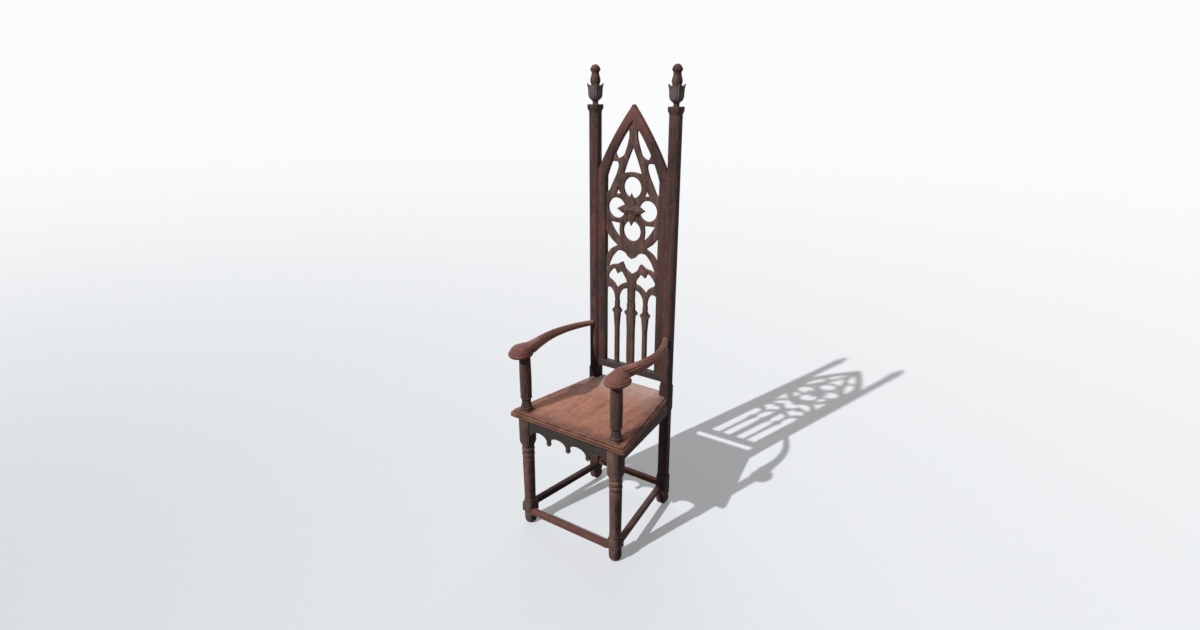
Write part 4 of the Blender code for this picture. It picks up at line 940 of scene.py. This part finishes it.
def seat_grime_and_shade(tree, place):
    """Mask of the seat's dark front and side edges and of the darkening round the arm supports: soil, and
    painted shade on the side faces, along the arms' shadows and at the feet of the supports.
    """
    x, y, z = apart(tree, place)
    stray = ranged(tree, noise(tree, place, 16.0, 5.0, 0.6), 0.3, 0.7, -0.014, 0.014)
    wide = worked(tree, "ABSOLUTE", x)
    side = worked(tree, "SUBTRACT", ranged(tree, y, SEAT_FRONT, SEAT_BACK, SEAT_WIDE, SEAT_NARROW), wide)
    spot = tree.nodes.new("ShaderNodeCombineXYZ")
    feed(tree, spot.inputs["X"], wide)
    feed(tree, spot.inputs["Y"], y)
    away = tree.nodes.new("ShaderNodeVectorMath")
    away.operation = "DISTANCE"
    feed(tree, away.inputs[0], spot.outputs["Vector"])
    away.inputs[1].default_value = (LEG.x, LEG.y, 0)
    masks = []
    for distance, near, far, most in (
            (worked(tree, "SUBTRACT", y, SEAT_FRONT), 0.012, 0.060, 0.88),
            (side, 0.008, 0.072, 0.92),
            (away.outputs["Value"], 0.024, 0.072, 0.90)):
        masks.append(ranged(tree, worked(tree, "ADD", distance, stray), near, far, most, 0.0))
    masks.append(ranged(tree, z, SEAT_UNDERSIDE + 0.0090, SEAT_UNDERSIDE + 0.0105, 1.0, 0.0))
    return most_of(tree, *masks)


def seat_dust_and_sheen(tree, place):
    """Mask of the seat's dull, pale rear part: dust and a painted sheen."""
    y = apart(tree, place)[1]
    return ranged(tree, worked(tree, "SUBTRACT", SEAT_BACK, y), 0.04, 0.19, 0.75, 0.0)


def post_soot_and_shade(tree, place):
    """Mask of soot and painted shade on posts and jambs near the seat: on the outer sides, and low down on
    the left, where it also paints the left arm's shadow.
    """
    x, _, z = apart(tree, place)
    rise = ranged(tree, z, SEAT_TOP - 0.10, SEAT_TOP + 0.01)
    side = ranged(tree, worked(tree, "ABSOLUTE", x), POST.x + 0.011, POST.x + 0.018)
    side = worked(tree, "MULTIPLY", side, ranged(tree, z, SEAT_TOP + 0.15, SEAT_TOP + 0.26, 1.0, 0.0))
    low = ranged(tree, z, SEAT_TOP + 0.03, SEAT_TOP + 0.16, 1.0, 0.0)
    low = worked(tree, "MULTIPLY", low, ranged(tree, x, -0.10, 0.10, 1.0, 0.35))
    return worked(tree, "MULTIPLY", rise, most_of(tree, side, low))


def leg_smoke(tree, place):
    """Mask of the greyer blocks and feet of the front legs."""
    z = apart(tree, place)[2]
    blocks = ranged(tree, z, 0.325, 0.350, 0.0, 0.45)
    return most_of(tree, blocks, ranged(tree, z, 0.085, 0.110, 0.50, 0.0))


def arch_flush(tree, place):
    """Mask of the redder top of the arch."""
    return ranged(tree, apart(tree, place)[2], ARCH_POINT - 0.100, ARCH_POINT - 0.030, 0.0, 0.80)


def grip_grime(tree, place):
    """Mask of the browner hand-holds."""
    return ranged(tree, apart(tree, place)[1], ARM_FRONT - 0.01, ARM_FRONT + 0.03, 0.80, 0.0)


def jamb_shade(tree, place):
    """Mask of the smoky inner half of the jambs, in long patches."""
    x, _, z = apart(tree, place)
    inner = ranged(tree, worked(tree, "ABSOLUTE", x), JAMB_INNER + 0.008, JAMB_INNER + 0.018, 0.90, 0.0)
    drawn_long = stretched(tree, place, (1, 1, 0.45), (2.0, 0, 0.7))
    patch = ranged(tree, noise(tree, drawn_long, 9.0, 3.0), 0.38, 0.52)
    near_top = ranged(tree, z, JAMB_TOP - 0.20, JAMB_TOP - 0.06)
    below = ranged(tree, z, JAMB_TOP + 0.01, JAMB_TOP + 0.06, 1.0, 0.0)
    shade = worked(tree, "MULTIPLY", inner, most_of(tree, patch, near_top))
    return worked(tree, "MULTIPLY", shade, below)


def leg_stain_and_shade(tree, place):
    """Mask of the dark stain and painted shade down the right-hand side of the front legs, the side turned
    from the light.
    """
    x = apart(tree, place)[0]
    across = worked(tree, "SUBTRACT", x, worked(tree, "MULTIPLY", worked(tree, "SIGN", x), LEG.x))
    drawn_long = stretched(tree, place, (1, 1, 0.3))
    stray = ranged(tree, noise(tree, drawn_long, 24.0, 4.0), 0.3, 0.7, -0.007, 0.007)
    return ranged(tree, worked(tree, "ADD", across, stray), 0.010, 0.017, 0.0, 0.75)


def placed(tree, group, **values):
    node = tree.nodes.new("ShaderNodeGroup")
    node.node_tree = group
    for word, value in values.items():
        feed(tree, node.inputs[word.replace("_", " ")], value)
    return node.outputs


FIGURE = figure_group()
WEAR = wear_group()
SOIL_AND_SHADE = soil_and_shade_group()
GRAIN = {"up": (40, 40, 2.6), "across": (2.6, 40, 40), "deep": (40, 2.6, 40), "seat": (24, 3.6, 24)}
SMOKE = (0.046, 0.050, 0.043, 1)
# Colour of the hollows: dirt, and painted shade in creases and grooves
HOLLOW_DIRT_AND_SHADE = (0.016, 0.012, 0.011, 1)


def aged_wood(name, along, early, late, flush, flush_amount, smoke_amount, worn, wear=0.6, dullness=0.5,
              soils_and_shades=(), mottle=0.8):
    """Wood with its own colours, worn edges, and soils and painted shades given as (colour, mask)."""
    wood = bpy.data.materials.new(name)
    wood.use_nodes = True
    tree = wood.node_tree
    shader = tree.nodes["Principled BSDF"]
    place = tree.nodes.new("ShaderNodeTexCoord").outputs["Object"]
    rubbed = tree.nodes.new("ShaderNodeAttribute")
    rubbed.attribute_name = "wear"
    grain = stretched(tree, place, GRAIN[along])
    figure = placed(tree, FIGURE, Place=place, Grain=grain, Early=early, Late=late,
                    Flush=flush, Flush_Amount=flush_amount, Smoke=SMOKE, Smoke_Amount=smoke_amount,
                    Mottle=mottle, Dullness=dullness)
    colour = figure["Colour"]
    # Soils and painted shades, each laid on where its mask says
    for tint, mask in soils_and_shades:
        colour = placed(tree, SOIL_AND_SHADE, Place=place, Colour=colour, Soil=tint, Mask=mask(tree, place))["Colour"]
    # Hollows darkened: dirt, and painted shade in creases and grooves
    dirt_and_shade = tree.nodes.new("ShaderNodeAttribute")
    dirt_and_shade.attribute_name = "hollow"
    colour = placed(tree, SOIL_AND_SHADE, Place=place, Colour=colour, Soil=HOLLOW_DIRT_AND_SHADE, Mask=dirt_and_shade.outputs["Fac"])["Colour"]
    edges = placed(tree, WEAR, Place=place, Colour=colour, Worn=worn,
                   Wear=rubbed.outputs["Fac"], Amount=wear)
    feed(tree, shader.inputs["Base Color"], edges["Colour"])
    feed(tree, shader.inputs["Roughness"], figure["Roughness"])
    bump = tree.nodes.new("ShaderNodeBump")
    bump.inputs["Strength"].default_value = BUMP_STRENGTH
    bump.inputs["Distance"].default_value = BUMP_DEPTH
    feed(tree, bump.inputs["Height"], figure["Height"])
    feed(tree, shader.inputs["Normal"], bump.outputs["Normal"])
    shader.inputs["Specular IOR Level"].default_value = GLOSS
    return wood


DARK = (0.038, 0.024, 0.024, 1)
BROWN = (0.150, 0.084, 0.078, 1)
RED = (0.178, 0.072, 0.061, 1)
LEG_DARK = (0.095, 0.053, 0.047, 1)
LEG_BROWN = (0.340, 0.183, 0.157, 1)
FINIAL_DARK = (0.052, 0.029, 0.028, 1)
FINIAL_BROWN = (0.235, 0.126, 0.113, 1)
ARCH_RED = (0.270, 0.118, 0.098, 1)
LEG_RUBBED = (0.300, 0.220, 0.190, 1)
GRIP_GRIME = (0.125, 0.058, 0.048, 1)
CALYX_SMOKE = (0.172, 0.168, 0.162, 1)
# Near black of the posts and leg sides: stain and painted shade
DARK_STAIN_AND_SHADE = (0.012, 0.012, 0.012, 1)
TRACERY_DARK = (0.056, 0.038, 0.034, 1)
TRACERY_BROWN = (0.228, 0.135, 0.113, 1)
STRETCHER_DARK = (0.070, 0.034, 0.029, 1)
STRETCHER_BROWN = (0.240, 0.106, 0.083, 1)
# Near-black stretcher wood: painted shade
STRETCHER_SHADE_DARK = (0.016, 0.010, 0.010, 1)
STRETCHER_SHADE_BROWN = (0.060, 0.034, 0.031, 1)
RUBBED = (0.230, 0.132, 0.112, 1)
SMOKE_RUBBED = (0.210, 0.200, 0.172, 1)
SEAT_DARK = (0.235, 0.105, 0.075, 1)
SEAT_PALE = (0.470, 0.225, 0.160, 1)
SEAT_ORANGE = (0.480, 0.190, 0.115, 1)
# Dark of the seat's edges and round the supports: soil and painted shade
SEAT_GRIME_AND_SHADE = (0.122, 0.055, 0.041, 1)
SEAT_RUBBED = (0.400, 0.185, 0.138, 1)
# Pale rear of the seat: dust and a painted sheen
SEAT_DUST_AND_SHEEN = (0.480, 0.365, 0.330, 1)
ARM_DARK = (0.158, 0.065, 0.056, 1)
ARM_BROWN = (0.460, 0.196, 0.160, 1)
ARM_RED = (0.310, 0.114, 0.086, 1)
ARM_RUBBED = (0.350, 0.172, 0.138, 1)
SUPPORT_DARK = (0.042, 0.033, 0.030, 1)
SUPPORT_BROWN = (0.207, 0.108, 0.090, 1)


def make_woods():
    calyx_band = height_band(CAP_TOP + 0.008, CAP_TOP + 0.064, 0.006, 0.95)
    all_over = height_band(0, POST_TOP, 0.05, 0.75)
    return {
        "upright": aged_wood("dark_upright_wood", "up", DARK, BROWN, RED, 0.45, 0.45, RUBBED,
                             soils_and_shades=((DARK_STAIN_AND_SHADE, post_soot_and_shade),)),
        "limb": aged_wood("reddish_arch_wood", "up", DARK, BROWN, RED, 0.75, 0.40, RUBBED, 0.7,
                          soils_and_shades=((ARCH_RED, arch_flush), (SMOKE, jamb_shade), (DARK_STAIN_AND_SHADE, post_soot_and_shade))),
        "leg": aged_wood("dark_leg_wood", "up", LEG_DARK, LEG_BROWN, RED, 0.45, 0.40, LEG_RUBBED, 0.85,
                         soils_and_shades=((SMOKE, leg_smoke), (DARK_STAIN_AND_SHADE, leg_stain_and_shade))),
        "finial": aged_wood("carved_finial_wood", "up", FINIAL_DARK, FINIAL_BROWN, RED, 0.75, 0.20, RUBBED,
                            soils_and_shades=((CALYX_SMOKE, calyx_band),)),
        "across": aged_wood("dark_rail_wood", "across", DARK, BROWN, RED, 0.40, 0.45, RUBBED),
        "deep": aged_wood("dark_side_rail_wood", "deep", DARK, BROWN, RED, 0.40, 0.40, RUBBED),
        "stretcher": aged_wood("red_stretcher_wood", "across", STRETCHER_DARK, STRETCHER_BROWN, RED,
                               0.60, 0.25, RUBBED),
        # Painted shade: the left side stretcher darkened as if in shadow
        "shade_darkened": aged_wood("shade_darkened_stretcher_wood", "deep", STRETCHER_SHADE_DARK, STRETCHER_SHADE_BROWN, RED,
                               0.15, 0.20, RUBBED, 0.4),
        "smoked": aged_wood("smoked_rail_wood", "across", DARK, BROWN, RED, 0.30, 0.60, SMOKE_RUBBED, 0.9,
                            soils_and_shades=((SMOKE, all_over),)),
        "tracery": aged_wood("dark_tracery_wood", "up", TRACERY_DARK, TRACERY_BROWN, RED,
                             0.25, 0.25, RUBBED, 0.7),
        "arm": aged_wood("hand_rubbed_arm_wood", "deep", ARM_DARK, ARM_BROWN, ARM_RED,
                         0.5, 0.20, ARM_RUBBED, 0.80, 0.44, ((GRIP_GRIME, grip_grime),), 1.0),
        "support": aged_wood("turned_support_wood", "up", SUPPORT_DARK, SUPPORT_BROWN, RED,
                             0.3, 0.60, RUBBED),
        "seat": aged_wood("worn_seat_wood", "seat", SEAT_DARK, SEAT_PALE, SEAT_ORANGE,
                          0.6, 0.05, SEAT_RUBBED, 0.22, 0.46,
                          ((SEAT_DUST_AND_SHEEN, seat_dust_and_sheen), (SEAT_GRIME_AND_SHADE, seat_grime_and_shade)), 0.15),
    }


# Floor, light and camera
FLOOR_HALF = 400.0
FLOOR_PALE = (0.925, 0.932, 0.938, 1)
SKY_PALE = (0.962, 0.969, 0.975, 1)
AMBIENT = (0.08, 0.08, 0.082, 1)
FLOOR_SHADE = (0.560, 0.600, 0.645, 1)
FLOOR_BOUNCE = (0.20, 0.20, 0.20, 1)
SHADE_PLACE = (-1.6, -2.2, -1.2)
SHADE_FADE = -1 / 3.8
# Lamps: (name, heading, strength, spread in degrees, shadow)
LAMPS = (
    ("key_sun", Vector((0.2003, 0.7392, -0.6430)), 2.9, 0.8, True),
    ("soft_overhead", Vector((0, 0, -1)), 0.72, 30.0, False),
    ("soft_rear", Vector((0.55, -0.65, -0.55)), 0.80, 60.0, False),
)
CAMERA_PLACE = (1.2631, -1.8263, 1.6090)
CAMERA_TURN = (70.371, 0.0, 34.609)
PHOTO_WIDTH = 1200
FOCAL_PIXELS = 679.32
SENSOR = 36.0


def seen_directly(tree):
    """1 where the eye, a mirror or glass sees the surface, 0 for light bouncing off it."""
    path = tree.nodes.new("ShaderNodeLightPath").outputs
    seen = worked(tree, "MAXIMUM", path["Is Camera Ray"], path["Is Glossy Ray"])
    return worked(tree, "MAXIMUM", seen, path["Is Transmission Ray"])


def make_floor():
    bm = bmesh.new()
    bmesh.ops.create_grid(bm, x_segments=1, y_segments=1, size=FLOOR_HALF)
    mesh = bpy.data.meshes.new("studio_floor")
    bm.to_mesh(mesh)
    bm.free()
    floor = bpy.data.objects.new("studio_floor", mesh)
    bpy.context.scene.collection.objects.link(floor)
    finish = bpy.data.materials.new("pale_floor")
    finish.use_nodes = True
    tree = finish.node_tree
    tree.nodes.remove(tree.nodes["Principled BSDF"])
    shader = tree.nodes.new("ShaderNodeBsdfDiffuse")
    away = tree.nodes.new("ShaderNodeVectorMath")
    away.operation = "DISTANCE"
    feed(tree, away.inputs[0], tree.nodes.new("ShaderNodeTexCoord").outputs["Object"])
    away.inputs[1].default_value = SHADE_PLACE
    shade = worked(tree, "EXPONENT", worked(tree, "MULTIPLY", away.outputs["Value"], SHADE_FADE))
    pale = mixed(tree, shade, FLOOR_PALE, FLOOR_SHADE)
    feed(tree, shader.inputs["Color"], mixed(tree, seen_directly(tree), FLOOR_BOUNCE, pale))
    feed(tree, tree.nodes["Material Output"].inputs["Surface"], shader.outputs["BSDF"])
    mesh.materials.append(finish)


def make_lamp(name, heading, strength, degrees, shadow):
    lamp = bpy.data.lights.new(name, "SUN")
    lamp.energy = strength
    lamp.use_shadow = shadow
    lamp.angle = math.radians(degrees)
    holder = bpy.data.objects.new(name, lamp)
    holder.rotation_euler = heading.to_track_quat("-Z", "Y").to_euler()
    bpy.context.scene.collection.objects.link(holder)


def make_world():
    world = bpy.data.worlds.new("soft_studio")
    bpy.context.scene.world = world
    world.use_nodes = True
    tree = world.node_tree
    glow = tree.nodes["Background"]
    feed(tree, glow.inputs["Color"], mixed(tree, seen_directly(tree), AMBIENT, SKY_PALE))


def make_camera():
    camera = bpy.data.cameras.new("photo_camera")
    camera.sensor_fit = "HORIZONTAL"
    camera.sensor_width = SENSOR
    camera.lens = FOCAL_PIXELS / PHOTO_WIDTH * SENSOR
    camera.clip_end = 2 * FLOOR_HALF
    holder = bpy.data.objects.new("photo_camera", camera)
    holder.location = CAMERA_PLACE
    holder.rotation_euler = [math.radians(angle) for angle in CAMERA_TURN]
    bpy.context.scene.collection.objects.link(holder)
    bpy.context.scene.camera = holder


make_camera()
finishes = make_woods()
make_pair("carved", "front_leg", LEG, leg_rings, TURNED_ANGLE, finishes["leg"], "frame_wood")
make_pair("chamfered", "rear_post", POST, post_rings, POST_ANGLE, finishes["upright"], "frame_wood")
make_pair("flared", "post_cap", POST, cap_rings, POST_ANGLE, finishes["upright"], "frame_wood")
make_pair("carved", "finial", POST, finial_rings, None, finishes["finial"], "frame_wood")
make_pair("turned", "arm_support", LEG, support_rings, TURNED_ANGLE, finishes["support"], "arm_wood")
make_arms(finishes["arm"])
make_rosette(finishes["tracery"])
make_seat(finishes["seat"])
make_apron(finishes["smoked"])
make_plain_pieces(finishes)
make_floor()
for lamp in LAMPS:
    make_lamp(*lamp)
make_world()
bpy.context.scene.view_settings.view_transform = "Standard"
